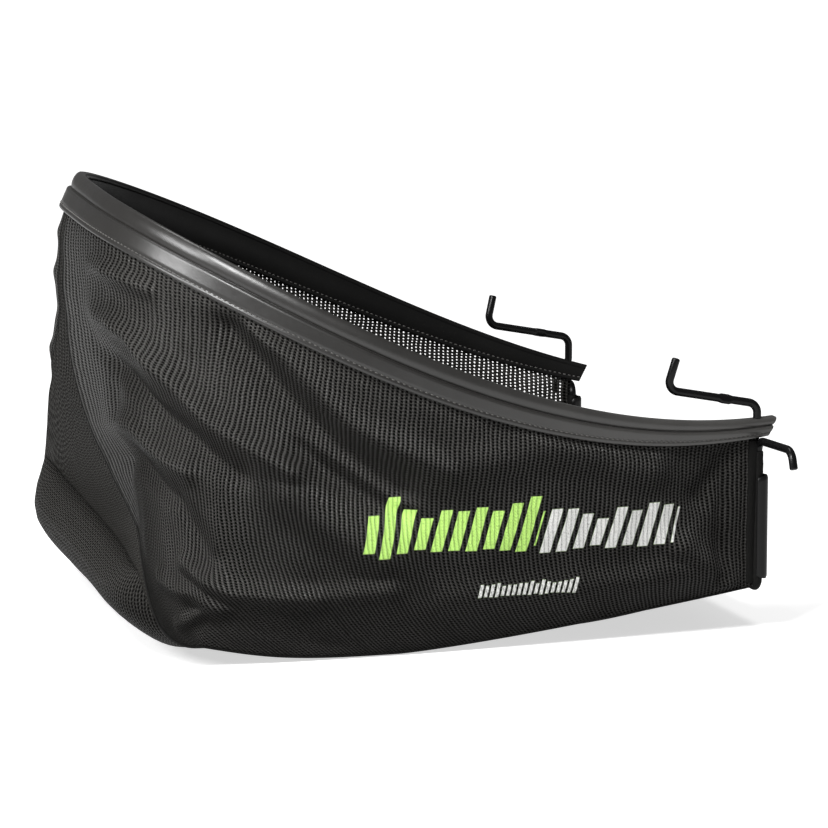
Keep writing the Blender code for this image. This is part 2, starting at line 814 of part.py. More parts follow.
def make_edge_clip(name, side, material):
    """Springy plastic clip, open to the rear, that grips an edge sleeve."""
    half = math.pi - CLIP_OPENING / 2
    section = []
    for radius, turn in ((CLIP_RADIUS + CLIP_WALL, 1), (CLIP_RADIUS, -1)):
        for step in range(CLIP_STEPS + 1):
            angle = turn * lerp(-half, half, step / CLIP_STEPS)
            section.append((radius * math.cos(angle), radius * math.sin(angle)))
    vertices = []
    for z in (CLIP_BOTTOM, CLIP_BOTTOM + CLIP_LENGTH):
        for x, y in section:
            vertices.append(Vector((UPRIGHT_X + CLIP_OFFSET + x, side * HALF_WIDTH + y, z)))
    count = len(section)
    faces = ring_faces(0, count, count)
    for base in (0, count):
        for step in range(CLIP_STEPS):
            mirror = 2 * CLIP_STEPS + 1 - step
            faces.append((base + step, base + step + 1, base + mirror - 1, base + mirror))
    return make_object(name, vertices, faces, material)


def build():
    clear_scene()
    steel = make_material("black_steel", (0.012, 0.012, 0.013), 0.38)
    plastic = make_material("black_plastic", (0.030, 0.029, 0.029), 0.32)
    mesh_cloth = make_material("black_mesh_cloth", (0.020, 0.019, 0.018), 0.75)
    binding = make_material("black_binding", (0.028, 0.027, 0.026), 0.60)
    clip_plastic = make_material("clip_plastic", (0.016, 0.016, 0.017), 0.35)

    make_top_rod(steel)
    make_front_rod(steel)
    channel = make_channel(plastic)
    for name, side in (("right_leg_passage", RIGHT), ("left_leg_passage", LEFT)):
        corners = hook_corners(side)[2:]
        inside = STATIONS[1] if side == RIGHT else RIM_LENGTH - STATIONS[1]
        path = bent_path(corners + [bore_point(inside)], [TIGHT_BEND_RADIUS])[:-1]
        cut(channel, name, path, BORE_HALF)
    make_cloth("right_side_panel", side_columns(RIGHT), mesh_cloth)
    make_cloth("left_side_panel", side_columns(LEFT), mesh_cloth)
    make_cloth("rear_panel", rear_columns(), mesh_cloth)
    make_cloth("floor_panel", floor_columns(), mesh_cloth)
    make_edge_sleeve("right_edge_sleeve", RIGHT, binding)
    make_edge_sleeve("left_edge_sleeve", LEFT, binding)
    make_floor_hem(binding)
    make_edge_clip("right_edge_clip", RIGHT, clip_plastic)
    make_edge_clip("left_edge_clip", LEFT, clip_plastic)


build()
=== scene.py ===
"""Looks of the grass catcher: knitted cloth, stitched plastic rim, coated rods, printed side.

Metres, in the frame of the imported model. The open mouth faces +X and the photographed
right side faces -Y.
"""

import bisect
import math

import bmesh
import bpy
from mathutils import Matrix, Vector, noise


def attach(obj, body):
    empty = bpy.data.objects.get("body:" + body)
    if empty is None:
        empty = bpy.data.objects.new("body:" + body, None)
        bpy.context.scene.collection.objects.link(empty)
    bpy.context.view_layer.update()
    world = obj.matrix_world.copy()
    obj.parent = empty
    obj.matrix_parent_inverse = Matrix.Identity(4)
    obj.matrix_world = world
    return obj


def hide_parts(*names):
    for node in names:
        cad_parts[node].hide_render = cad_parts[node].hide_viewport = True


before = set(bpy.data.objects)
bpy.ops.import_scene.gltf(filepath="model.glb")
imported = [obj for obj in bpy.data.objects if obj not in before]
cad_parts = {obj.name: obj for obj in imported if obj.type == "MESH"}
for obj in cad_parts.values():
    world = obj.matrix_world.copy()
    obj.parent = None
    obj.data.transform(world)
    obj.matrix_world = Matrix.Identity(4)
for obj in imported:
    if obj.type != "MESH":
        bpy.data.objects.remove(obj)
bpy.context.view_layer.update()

# The small creases of the sleeves come out the same on each run
noise.seed_set(1)

# The bag's plan and heights
MOUTH_WIDTH = 0.400
BAG_LENGTH = 0.454
SIDE_BULGE = 0.030
PLAN_ROUNDNESS = 3.0
REST_TO_MOUTH = 0.245
FRONT_RIM_HEIGHT = 0.150
REAR_RIM_HEIGHT = 0.3205
FRONT_RIM_SLOPE = 0.109
REAR_RIM_SLOPE = 0.46
RIM_LEAN = math.radians(28)

# How far the soft rim's right side stands above its mean height, front, middle and rear
RIM_TWIST = (0.0085, -0.0160, -0.0145)

# Steel rods
ROD_DIAMETER = 0.006
ROD_CLEARANCE = 0.0003
BEND_RADIUS = 0.008
TIGHT_BEND_RADIUS = 0.005
CRIMP_LENGTH = 0.011
CRIMP_WIDTH = 0.0082
CRIMP_THICKNESS = 0.0048
CRIMP_TAPER = 0.0028

# A rod's rounded end: distances from it and shares of the full thickness there
ROUNDED_END = [(0, 0.72), (0.0003, 0.92), (0.0010, 1)]

# Hooks of the top rod, measured from the rim's front ends and their mean height
LEG_SETBACK = 0.0145
HOOK_RISE = 0.0165
HOOK_RUN = 0.070
HOOK_RUN_RISE = 0.013
HOOK_TIP_RISE = 0.023
HOOK_TIP_LEAN = 0.006
HOOK_TIP_SPLAY = 0.003
HOOK_TWIST = 0.002
CRIMP_FROM_LEG = 0.020

# Uprights, arms and bottom bar of the front rod
UPRIGHT_SETBACK = 0.012
BOTTOM_BAR_HEIGHT = 0.034
ARM_REACH = 0.051
ARM_SWEEP = 0.0045
ARM_END_SPLAY = 0.005
ARM_END_DROP = 0.013
ARM_BEND_RADIUS = 0.010

# Plastic channel that closes over the rod and the bag's top edge
CHANNEL_FRONT_HEIGHT = 0.0150
CHANNEL_REAR_HEIGHT = 0.0295
CHANNEL_WALL = 0.0011
CHANNEL_ROOF = 0.0013
UPPER_BAND_SHARE = 0.42

# Mesh cloth, its sleeves and the clips over them
CLOTH_THICKNESS = 0.0008
CLOTH_GAP = 0.0003
SLEEVE_WALL = 0.0005
CLIP_WALL = 0.0013
CLIP_RADIUS = 0.0050
CLIP_OFFSET = 0.0012
CLIP_OPENING = math.radians(100)
CLIP_LENGTH = 0.076
HEM_OVERLAP = 0.001

# Bag floor: a flat spot on the ground, rising to its sides, its front and its rear
FLAT_SPOT_LENGTH = 0.210
FLAT_SPOT_SHARE = 0.35
LOWEST_SIDE_HEIGHT = 0.0018
LOWEST_SIDE_SETBACK = 0.285
FLOOR_CORNER_RADIUS = 0.038
FLOOR_END_SETBACK = 0.459
FLOOR_LIP = 0.046
REAR_SEAM_HEIGHT = 0.080
REAR_SEAM_LIFT = 0.018
FLOOR_CORNER_HEIGHT = 0.010

# How steeply the floor's seam and its middle rise from their lowest places
FRONT_SEAM_POWER = 1.3
REAR_SEAM_POWER = 3
CORNER_SEAM_POWER = 1.5
FRONT_MIDDLE_POWER = 1.6
REAR_MIDDLE_POWER = 2
EDGE_RISE_POWER = 3

# Shares of the rim's length at which the cloth meets the start and end of a floor corner
CORNER_START_SHARE = 0.335
CORNER_END_SHARE = 0.450
COLUMN_DRIFT_POWER = 4

# Fullness of the walls between the rim and the floor
SIDE_FULLNESS = 0.006
REAR_FULLNESS = 0.003
SHOULDER_DROP = 0.13
FRONT_FADE = 0.080
REAR_START_SHARE = 0.30
REAR_START_SPAN = 0.12

# Soft folds that the side walls hang in. Each one runs from one place to another, and a
# place is a share of the rim's length and a share of the drop from the rim to the floor.
# The last two values are the fold's half width and how far it stands out or in.
FOLD_FADE = 0.12
LEFT_FOLD_SHARE = 0.25
FOLDS = [
    (0.460, 0.26, 0.392, 0.28, 0.020, 0.0040),
    (0.392, 0.28, 0.298, 0.42, 0.020, 0.0060),
    (0.460, 0.55, 0.362, 0.52, 0.018, 0.0040),
    (0.408, 0.82, 0.298, 0.79, 0.018, 0.0045),
    (0.338, 0.10, 0.256, 0.40, 0.022, -0.0060),
    (0.046, 0.33, 0.030, 0.12, 0.018, -0.0030),
    (0.030, 0.90, 0.054, 0.64, 0.018, 0.0035),
]

# Narrow folds of the near side: half width, how far they stand out or in, and their routes
FINE_FOLD_LINES = [
    (0.007, 0.0030, [(0.470, 0.110), (0.440, 0.085)]),
    (0.007, 0.0025, [(0.440, 0.085), (0.400, 0.060)]),
    (0.009, 0.0035, [(0.490, 0.275), (0.418, 0.231), (0.382, 0.256), (0.347, 0.325), (0.296, 0.381)]),
    (0.009, -0.0030, [(0.478, 0.381), (0.413, 0.388), (0.364, 0.400), (0.326, 0.456)]),
    (0.008, 0.0030, [(0.491, 0.663), (0.421, 0.513), (0.364, 0.494)]),
    (0.009, -0.0025, [(0.482, 0.750), (0.424, 0.619), (0.374, 0.594), (0.338, 0.725)]),
    (0.006, 0.0030, [(0.362, 0.740), (0.347, 0.763)]),
    (0.006, 0.0036, [(0.347, 0.763), (0.322, 0.806)]),
    (0.007, 0.0034, [(0.322, 0.806), (0.274, 0.794)]),
    (0.008, 0.0020, [(0.274, 0.794), (0.235, 0.760)]),
    (0.006, 0.0028, [(0.385, 0.825), (0.350, 0.825), (0.329, 0.869)]),
    (0.005, 0.0020, [(0.365, 0.938), (0.325, 0.863)]),
    (0.012, -0.0035, [(0.340, 0.062), (0.292, 0.206), (0.233, 0.369)]),
    (0.011, 0.0030, [(0.322, 0.013), (0.266, 0.194), (0.206, 0.250)]),
    (0.010, -0.0030, [(0.293, 0.344), (0.231, 0.463)]),
    (0.012, 0.0020, [(0.296, 0.488), (0.240, 0.638)]),
    (0.010, -0.0020, [(0.020, 0.050), (0.044, 0.344)]),
    (0.010, 0.0025, [(0.020, 0.950), (0.056, 0.638)]),
    (0.006, -0.0020, [(0.030, 0.100), (0.028, 0.880)]),
    (0.014, 0.0020, [(0.216, 0.269), (0.140, 0.069), (0.082, 0.144)]),
    (0.014, 0.0020, [(0.197, 0.794), (0.042, 0.812)]),
]
FINE_FOLDS = [(*start, *end, half_width, stand_out) for half_width, stand_out, line in FINE_FOLD_LINES
              for start, end in zip(line, line[1:])]
FINE_FADE = 0.05
FINE_FRONT_FADE = 0.030
FINE_SHARE = 2.6

# The fine shape fades out towards the rear corners: from where, and over how much
LEFT_FINE_SHARE = 0.5
LEFT_CORNER = (0.465, 0.06)
RIGHT_CORNER = (0.495, 0.075)
CORNER_CALM = 0.06

# Puckers below the rim: where they start, fade in over, end and fade out over
PUCKERS_ALONG = (0.19, 0.06, 0.42, 0.05)
PUCKERS_DOWN = (0, 0.03, 0.42, 0.30)
PUCKER_PITCH = 0.0085
PUCKER_DEPTH = 0.0007
PUCKER_WANDER = 0.004
WAVE_SIZE = 0.045
WAVE_DEPTH = 0.0022
WIDE_RIB_START = 0.33
WIDE_RIB_SHARE = 0.55

# Corrections to the bag's outline: centre, radius and shift
PULLS = [
    (Vector((-0.190, -0.165, 0.030)), 0.055, Vector((-0.0108, -0.003, -0.0065))),
    (Vector((-0.200, -0.195, 0.005)), 0.058, Vector((0, 0, 0.0100))),
]

# Mesh counts
CHANNEL_STATIONS = 56
SEAM_STATION = 27
CORNER_ROWS = 8
ROD_SIDES = 24
BEND_STEPS = 12
PLAN_STEPS = 720
PLAN_PROBE = 0.004
SIDE_COLUMNS = 170
REAR_COLUMNS = 110
WALL_ROW_COUNT = 120
FLOOR_COLUMNS = 110
FLOOR_ROWS = 110
FLOOR_FRONT_SHARE = 0.85
CHANNEL_COUNT = 420

# A panel's stated width is at most this many times its mean width
WIDTH_LIMIT = 3.2

# Trim that the solids leave out
TUCK = 0.004
SEAM_RADIUS = 0.0009
STITCH_PITCH = 0.0038
STITCH_WIDTH = 0.0009
STITCH_FROM_EDGE = 0.0036
HEM_WIDTH = 0.0045
HEM_STAND = 0.0012
CLIP_ROUND = 0.003

# Points of the rim's section. Each starts with millimetres past the outer or inner face. The
# second value is a share of the upper band's height for the outer bead, and millimetres below
# the band for the step, above the lower edge for the feet and below the top for the inner bead.
OUTER_BEAD = [(-2.2, 0), (-1.3, 0.03), (-0.6, 0.10), (0, 0.22), (0.4, 0.38), (0.5, 0.54),
              (0.3, 0.70), (-0.1, 0.83), (-0.7, 0.94), (-1.2, 1)]
OUTER_STEP = [(-1.1, 0.3), (-0.2, 0.4), (0.7, 0.7), (1.3, 1.3), (1.6, 2.2), (1.5, 3.4)]
OUTER_FOOT = [(1.0, 4.6), (0.7, 4.1), (0.6, 3.6), (0.9, 3.0), (1.1, 2.0), (0.8, 0.6), (0.2, 0)]
INNER_FOOT = [(0.5, 0), (-0.1, 0.6), (-0.3, 1.8), (-0.1, 3.0), (0.3, 3.7), (0, 4.4)]
INNER_BEAD = [(0, 4.6), (0.3, 4.1), (0.3, 3.7), (-0.2, 3.1), (-0.2, 2.0), (0.3, 0.8), (1.2, 0.1),
              (2.2, 0)]

# Size and depth of the rim's and the floor's waves, and depth of the plastic's fine ones
RIM_WAVE = (0.07, 0.0009)
FLOOR_WAVE = (0.05, 0.0012)
PLASTIC_WAVE = 0.00012

# Rows of printed bars: first and last place, low and high edge, pitch, filled share, seed
# and raggedness
GREEN_BARS = (-0.0675, 0.061, 0.072, 0.115, 0.0125, 0.66, 3.0, 0.016)
PALE_BARS = (0.062, 0.166, 0.070, 0.105, 0.0125, 0.66, 40.0, 0.012)
SMALL_BARS = (0.015, 0.091, 0.040, 0.052, 0.0042, 0.60, 80.0, 0.004)
BAR_SLANT = 0.25

# Camera and lights
CAMERA_LENS = 178.26
CAMERA_PLACE = (-0.8821, -2.9184, 0.6136)
CAMERA_TURN = math.radians(17.44)
CAMERA_TILT = math.radians(8.8)
WORLD_LIGHT = 0.16
FLOOR_GLOW = 0.62
MIRRORED_GLOW = 0.42
# Name, direction, distance, size and power of each light
SOFTBOXES = [
    ("rear_softbox", (-0.83, -0.31, 0.46), 2.6, (0.9, 0.8), 46),
    ("top_softbox", (-0.1, 0.10, 0.98), 2.6, (0.8, 0.8), 20),
    ("key_softbox", (-0.52, -0.56, 0.65), 3.0, (0.6, 0.6), 72),
]

# Sizes that follow from the ones above
ROD_RADIUS = ROD_DIAMETER / 2
MOUTH_X = REST_TO_MOUTH
HALF_WIDTH = MOUTH_WIDTH / 2
BORE_HALF = ROD_RADIUS + ROD_CLEARANCE
BORE_DROP_HALF = BORE_HALF / math.cos(RIM_LEAN - math.atan(FRONT_RIM_SLOPE))
BORE_DEPTH = CHANNEL_ROOF + BORE_DROP_HALF
BORE_BOTTOM = CHANNEL_ROOF + 2 * BORE_DROP_HALF
SLOT_HALF = CLOTH_THICKNESS / 2 + CLOTH_GAP
UPRIGHT_X = MOUTH_X - UPRIGHT_SETBACK
SLEEVE_RADIUS = BORE_HALF + SLEEVE_WALL
CLOTH_FRONT_X = UPRIGHT_X - SLEEVE_RADIUS - CLOTH_GAP
DOWN = Vector((-math.sin(RIM_LEAN), 0, -math.cos(RIM_LEAN)))
HEM_TOP = BOTTOM_BAR_HEIGHT + TIGHT_BEND_RADIUS + HEM_OVERLAP
CLIP_BOTTOM = HEM_TOP
RIGHT = -1
LEFT = 1
SEAM_TOP_SHARE = {RIGHT: 0.530, LEFT: 0.460}


def clamp(value, low=0.0, high=1.0):
    return max(low, min(high, value))


def lerp(start, end, share):
    return start + (end - start) * share


def ease(share):
    share = clamp(share)
    return share * share * (3 - 2 * share)


def window(value, start, fade_in, end, fade_out):
    """Share that rises from 0 at a start and falls back to 0 at an end."""
    return ease((value - start) / fade_in) * ease((end - value) / fade_out)


def shares(count):
    """Even steps from 0 to 1."""
    return [step / count for step in range(count + 1)]


def piecewise(value, knots):
    """Straight interpolation through (value, result) knots."""
    for (low, low_result), (high, high_result) in zip(knots, knots[1:]):
        if value <= high:
            return lerp(low_result, high_result, (value - low) / (high - low))
    return knots[-1][1]


# The rim's curve, seen from above and from the side

def rim_plan_points():
    """Plan of the rim from its right front end round the rear to its left front end."""
    power = 2 / PLAN_ROUNDNESS
    points = []
    for step in range(PLAN_STEPS + 1):
        angle = math.pi * step / PLAN_STEPS
        back = BAG_LENGTH * abs(math.sin(angle)) ** power
        widest = HALF_WIDTH + SIDE_BULGE * math.sin(math.pi * back / BAG_LENGTH)
        half = widest * abs(math.cos(angle)) ** power
        side = LEFT if angle > math.pi / 2 else RIGHT
        points.append(Vector((MOUTH_X - back, side * half, 0)))
    return points


def running_lengths(points):
    lengths = [0.0]
    for start, end in zip(points, points[1:]):
        lengths.append(lengths[-1] + (end - start).length)
    return lengths


RIM_PLAN = rim_plan_points()
RIM_LENGTHS = running_lengths(RIM_PLAN)
RIM_LENGTH = RIM_LENGTHS[-1]


def plan_point(distance):
    """Point of the rim's plan at a distance from its right front end."""
    distance = clamp(distance, 0, RIM_LENGTH)
    high = bisect.bisect_right(RIM_LENGTHS, distance, 1, PLAN_STEPS)
    start, end = RIM_LENGTHS[high - 1:high + 1]
    return RIM_PLAN[high - 1].lerp(RIM_PLAN[high], (distance - start) / (end - start))


def from_side(distance, side):
    """Distance along the rim of a place measured from the front end of a side."""
    return distance if side == RIGHT else RIM_LENGTH - distance


def plan_outward(distance):
    """Horizontal direction that faces out of the bag."""
    tangent = plan_point(distance + PLAN_PROBE) - plan_point(distance - PLAN_PROBE)
    return Vector((-tangent.y, tangent.x, 0)).normalized()


def rim_height(x, y):
    """Height of the rim's top edge, with the twist of the soft rim."""
    back = (MOUTH_X - x) / BAG_LENGTH
    rise = REAR_RIM_HEIGHT - FRONT_RIM_HEIGHT
    start = FRONT_RIM_SLOPE * BAG_LENGTH
    end = REAR_RIM_SLOPE * BAG_LENGTH
    height = FRONT_RIM_HEIGHT + start * back
    height += (3 * rise - 2 * start - end) * back ** 2
    height += (start + end - 2 * rise) * back ** 3
    front, middle, rear = RIM_TWIST
    twist = front + (4 * middle - 3 * front - rear) * back
    twist += 2 * (front + rear - 2 * middle) * back ** 2
    return height - twist * y / HALF_WIDTH


def rim_point(distance):
    point = plan_point(distance)
    point.z = rim_height(point.x, point.y)
    return point


def channel_outward(distance):
    """Outward direction square to the channel's walls."""
    outward = plan_outward(distance)
    return (outward - DOWN * outward.dot(DOWN)).normalized()


def channel_height(distance):
    back = (MOUTH_X - plan_point(distance).x) / BAG_LENGTH
    return lerp(CHANNEL_REAR_HEIGHT, CHANNEL_FRONT_HEIGHT, (1 - back) ** 2)


def channel_foot(distance):
    """Middle of the channel's lower edge, where the cloth comes out."""
    return rim_point(distance) + DOWN * channel_height(distance)


def distance_of_foot(x):
    """Distance along the rim at which the channel's lower edge reaches x."""
    low, high = 0.0, RIM_LENGTH / 3
    for _ in range(40):
        middle = (low + high) / 2
        if channel_foot(middle).x > x:
            low = middle
        else:
            high = middle
    return low


CLOTH_START = distance_of_foot(CLOTH_FRONT_X)
STATIONS = [RIM_LENGTH * i / CHANNEL_STATIONS for i in range(CHANNEL_STATIONS + 1)]


# The floor's outline, from its right front corner round the rear to its left one

SIDE_RUN = CLOTH_FRONT_X - (MOUTH_X - FLOOR_END_SETBACK) - FLOOR_CORNER_RADIUS
CORNER_RUN = math.pi * FLOOR_CORNER_RADIUS / 2
REAR_RUN = 2 * (HALF_WIDTH - FLOOR_CORNER_RADIUS)
OUTLINE_RUN = 2 * SIDE_RUN + 2 * CORNER_RUN + REAR_RUN
CORNER_X = CLOTH_FRONT_X - SIDE_RUN


def side_height(x):
    """Height of the seam between a side panel and the floor."""
    lowest_x = MOUTH_X - LOWEST_SIDE_SETBACK
    if x > lowest_x:
        share = (x - lowest_x) / (CLOTH_FRONT_X - lowest_x)
        return lerp(LOWEST_SIDE_HEIGHT, BOTTOM_BAR_HEIGHT, share ** FRONT_SEAM_POWER)
    share = (lowest_x - x) / (lowest_x - CORNER_X)
    return lerp(LOWEST_SIDE_HEIGHT, FLOOR_CORNER_HEIGHT, share ** REAR_SEAM_POWER)


def corner_point(side, angle):
    """Point on a rear corner of the floor's outline, by the angle turned from the side."""
    x = CORNER_X - FLOOR_CORNER_RADIUS * math.sin(angle)
    y = side * (HALF_WIDTH - FLOOR_CORNER_RADIUS * (1 - math.cos(angle)))
    rise = ease(angle / (math.pi / 2)) ** CORNER_SEAM_POWER
    z = lerp(FLOOR_CORNER_HEIGHT, REAR_SEAM_HEIGHT, rise)
    return Vector((x, y, z))


def seam_lift(y, angle=math.pi / 2):
    """Twist of the floor's rear end: its left side stands higher."""
    return REAR_SEAM_LIFT * y / HALF_WIDTH * ease(angle / (math.pi / 2))


def outline_point(run):
    """Point of the seam between the walls and the floor."""
    side = RIGHT
    if run > OUTLINE_RUN / 2:
        side = LEFT
        run = OUTLINE_RUN - run
    run = max(run, 0)
    if run <= SIDE_RUN:
        x = CLOTH_FRONT_X - run
        return Vector((x, side * HALF_WIDTH, side_height(x)))
    if run <= SIDE_RUN + CORNER_RUN:
        angle = (run - SIDE_RUN) / FLOOR_CORNER_RADIUS
        point = corner_point(side, angle)
        point.z += seam_lift(point.y, angle)
        return point
    y = side * (OUTLINE_RUN / 2 - run)
    x = CORNER_X - FLOOR_CORNER_RADIUS
    return Vector((x, y, REAR_SEAM_HEIGHT + seam_lift(y)))


# Pairs of a distance along the rim and the run along the floor's outline below it
WALL_KNOTS = [
    (CLOTH_START, 0),
    (RIM_LENGTH * CORNER_START_SHARE, SIDE_RUN),
    (RIM_LENGTH * CORNER_END_SHARE, SIDE_RUN + CORNER_RUN),
    (RIM_LENGTH * (1 - CORNER_END_SHARE), OUTLINE_RUN - SIDE_RUN - CORNER_RUN),
    (RIM_LENGTH * (1 - CORNER_START_SHARE), OUTLINE_RUN - SIDE_RUN),
    (RIM_LENGTH - CLOTH_START, OUTLINE_RUN),
]


def outline_run(distance):
    return piecewise(distance, WALL_KNOTS)


def rim_distance(run):
    return piecewise(run, [(low, high) for high, low in WALL_KNOTS])


# Walls

def wall_fullness(distance, drop):
    """How far the wall stands out of the straight line from rim to floor."""
    near = min(distance, RIM_LENGTH - distance)
    rearward = ease((near / RIM_LENGTH - REAR_START_SHARE) / REAR_START_SPAN)
    side = SIDE_FULLNESS * math.sin(math.pi * drop) * ease((near - CLOTH_START) / FRONT_FADE)
    rear = REAR_FULLNESS * drop / SHOULDER_DROP * math.exp(1 - drop / SHOULDER_DROP)
    return lerp(side, rear * (1 - drop), rearward)


def fold_reaches(folds, along, down, height):
    """How far each fold carries a place on a wall of some height out or in."""
    reaches = []
    for start, start_drop, end, end_drop, half_width, stand_out in folds:
        first, first_down = start * RIM_LENGTH, start_drop * height
        run, fall = end * RIM_LENGTH - first, end_drop * height - first_down
        share = (along - first) * run + (down - first_down) * fall
        share = clamp(share / (run * run + fall * fall))
        apart = math.hypot(along - first - share * run, down - first_down - share * fall)
        reaches.append(stand_out * math.exp(-(apart / half_width) ** 2))
    return reaches


def fold_depth(distance, drop, height):
    along = min(distance, RIM_LENGTH - distance)
    depth = sum(fold_reaches(FOLDS, along, drop * height, height))
    fade = window(drop, 0, FOLD_FADE, 1, FOLD_FADE)
    if distance > RIM_LENGTH / 2:
        fade *= LEFT_FOLD_SHARE
    return depth * fade * ease((along - CLOTH_START) / FRONT_FADE)


def wall_point(distance, drop):
    """Point of a wall, by distance along the rim and drop from rim (0) to floor (1)."""
    top = channel_foot(distance)
    bottom = outline_point(outline_run(distance))
    depth = wall_fullness(distance, drop)
    depth += fold_depth(distance, drop, (top - bottom).length)
    return top.lerp(bottom, drop) + plan_outward(distance) * depth


def column_path(top, run):
    """Distance along the rim of a column, which drifts to its run along the floor."""
    bottom = rim_distance(run)
    return lambda drop: lerp(top, bottom, drop ** COLUMN_DRIFT_POWER)


# Floor

def floor_middle(x):
    """Middle of the floor ahead of its rear corners."""
    ground = CLOTH_THICKNESS / 2
    flat_half = FLAT_SPOT_LENGTH / 2
    if x > flat_half:
        share = (x - flat_half) / (CLOTH_FRONT_X - flat_half)
        return Vector((x, 0, lerp(ground, BOTTOM_BAR_HEIGHT, share ** FRONT_MIDDLE_POWER)))
    if x < -flat_half:
        share = (x + flat_half) / (CORNER_X + flat_half)
        return Vector((x, 0, lerp(ground, FLOOR_CORNER_HEIGHT / 2, share ** REAR_MIDDLE_POWER)))
    return Vector((x, 0, ground))


def floor_end(angle):
    """Middle of the floor's rear end, which turns up to the rear seam."""
    lip = FLOOR_LIP * math.sin(angle) ** 4 * math.sin(2 * angle)
    x = CORNER_X - FLOOR_CORNER_RADIUS * math.sin(angle) - lip
    z = lerp(FLOOR_CORNER_HEIGHT / 2, REAR_SEAM_HEIGHT, 1 - math.cos(angle))
    return Vector((x, 0, z))


# Finer shape of the cloth than the solids have

def fine_depth(distance, drop, height):
    """How far the narrow folds, puckers and waves carry a wall out or in."""
    along = min(distance, RIM_LENGTH - distance)
    share = along / RIM_LENGTH
    down = drop * height
    reaches = fold_reaches(FINE_FOLDS, along, down, height)
    depth = FINE_SHARE * (max(reaches) + min(reaches))
    side = 7 if distance > RIM_LENGTH / 2 else 0
    for finer, strength, seed in ((1, 1, side), (2.2, 0.45, side + 3)):
        place = Vector((along / WAVE_SIZE * finer, down / WAVE_SIZE * finer, seed))
        depth += WAVE_DEPTH * strength * noise.noise(place)
    pucker = window(share, *PUCKERS_ALONG) * window(drop, *PUCKERS_DOWN)
    wander = PUCKER_WANDER * noise.noise(Vector((along / 0.03, down / 0.05, side + 9)))
    depth += PUCKER_DEPTH * pucker * math.sin(2 * math.pi * (along + wander) / PUCKER_PITCH)
    fade = window(drop, 0, FINE_FADE, 1, FINE_FADE)
    full, (end, span) = (LEFT_FINE_SHARE, LEFT_CORNER) if side else (1, RIGHT_CORNER)
    fade *= lerp(CORNER_CALM, full, ease((end - share) / span))
    return depth * fade * ease((along - CLOTH_START) / FINE_FRONT_FADE)


def pulled(point):
    point = point.copy()
    for centre, radius, shift in PULLS:
        weight = math.exp(-((point - centre).length / radius) ** 2)
        point += shift * weight
    point.z = max(point.z, CLOTH_THICKNESS / 2)
    return point


def fine_wall_point(distance, drop):
    top = channel_foot(distance)
    bottom = outline_point(outline_run(distance))
    depth = fine_depth(distance, drop, (top - bottom).length)
    return pulled(wall_point(distance, drop) + plan_outward(distance) * depth)


# Mesh builders

def add_item(name, data, *materials):
    item = bpy.data.objects.new(name, data)
    for material in materials:
        item.data.materials.append(material)
    bpy.context.scene.collection.objects.link(item)
    return item


def make_object(name, vertices, faces, material, smooth_angle=35):
    mesh = bpy.data.meshes.new(name)
    mesh.from_pydata([tuple(vertex) for vertex in vertices], [], faces)
    work = bmesh.new()
    work.from_mesh(mesh)
    bmesh.ops.triangulate(work, faces=[face for face in work.faces if len(face.verts) > 4])
    bmesh.ops.recalc_face_normals(work, faces=work.faces[:])
    work.to_mesh(mesh)
    work.free()
    mesh.shade_smooth()
    mesh.set_sharp_from_angle(angle=math.radians(smooth_angle))
    return add_item(name, mesh, material)


def grid_faces(across, along, start=0):
    faces = []
    for i in range(across - 1):
        for first in range(start + i * along, start + (i + 1) * along - 1):
            faces.append((first, first + 1, first + along + 1, first + along))
    return faces


def make_sheet(name, grid, weave, material, outside=None, thickness=0.0007, place=None):
    """Cloth over a grid of points, with its weave's coordinates in metres."""
    across, along = len(grid), len(grid[0])
    vertices = [tuple(point) for column in grid for point in column]
    mesh = bpy.data.meshes.new(name)
    mesh.from_pydata(vertices, [], grid_faces(across, along))
    maps = [("weave", weave)]
    if place:
        maps.append(("place", place))
    for label, values in maps:
        layer = mesh.uv_layers.new(name=label)
        for loop in mesh.loops:
            i, j = divmod(loop.vertex_index, along)
            layer.data[loop.index].uv = values[i][j]
    mesh.shade_smooth()
    item = add_item(name, mesh, material)
    solid = item.modifiers.new("thickness", "SOLIDIFY")
    solid.thickness = thickness
    solid.offset = 0
    if outside:
        item.data.materials.append(outside)
        solid.material_offset = 1
    return item


def grid_area(grid):
    area = 0.0
    for first, second in zip(grid, grid[1:]):
        for j in range(len(first) - 1):
            one = second[j + 1] - first[j]
            two = second[j] - first[j + 1]
            area += one.cross(two).length / 2
    return area


def section_frames(points):
    """Two directions square to a path at each of its points, without twist."""
    frames = []
    side = None
    for index, point in enumerate(points):
        ahead = points[min(index + 1, len(points) - 1)] - point
        behind = point - points[max(index - 1, 0)]
        tangent = (ahead.normalized() + behind.normalized()).normalized()
        if side is None:
            side = tangent.orthogonal()
        side = (side - tangent * side.dot(tangent)).normalized()
        frames.append((side, tangent.cross(side)))
    return frames


def ring_faces(first, second, count):
    faces = []
    for k in range(count):
        following = (k + 1) % count
        faces.append((first + k, first + following, second + following, second + k))
    return faces


def tube_faces(start, rings, count):
    faces = []
    for first in range(start, start + (rings - 1) * count, count):
        faces += ring_faces(first, first + count, count)
    return faces


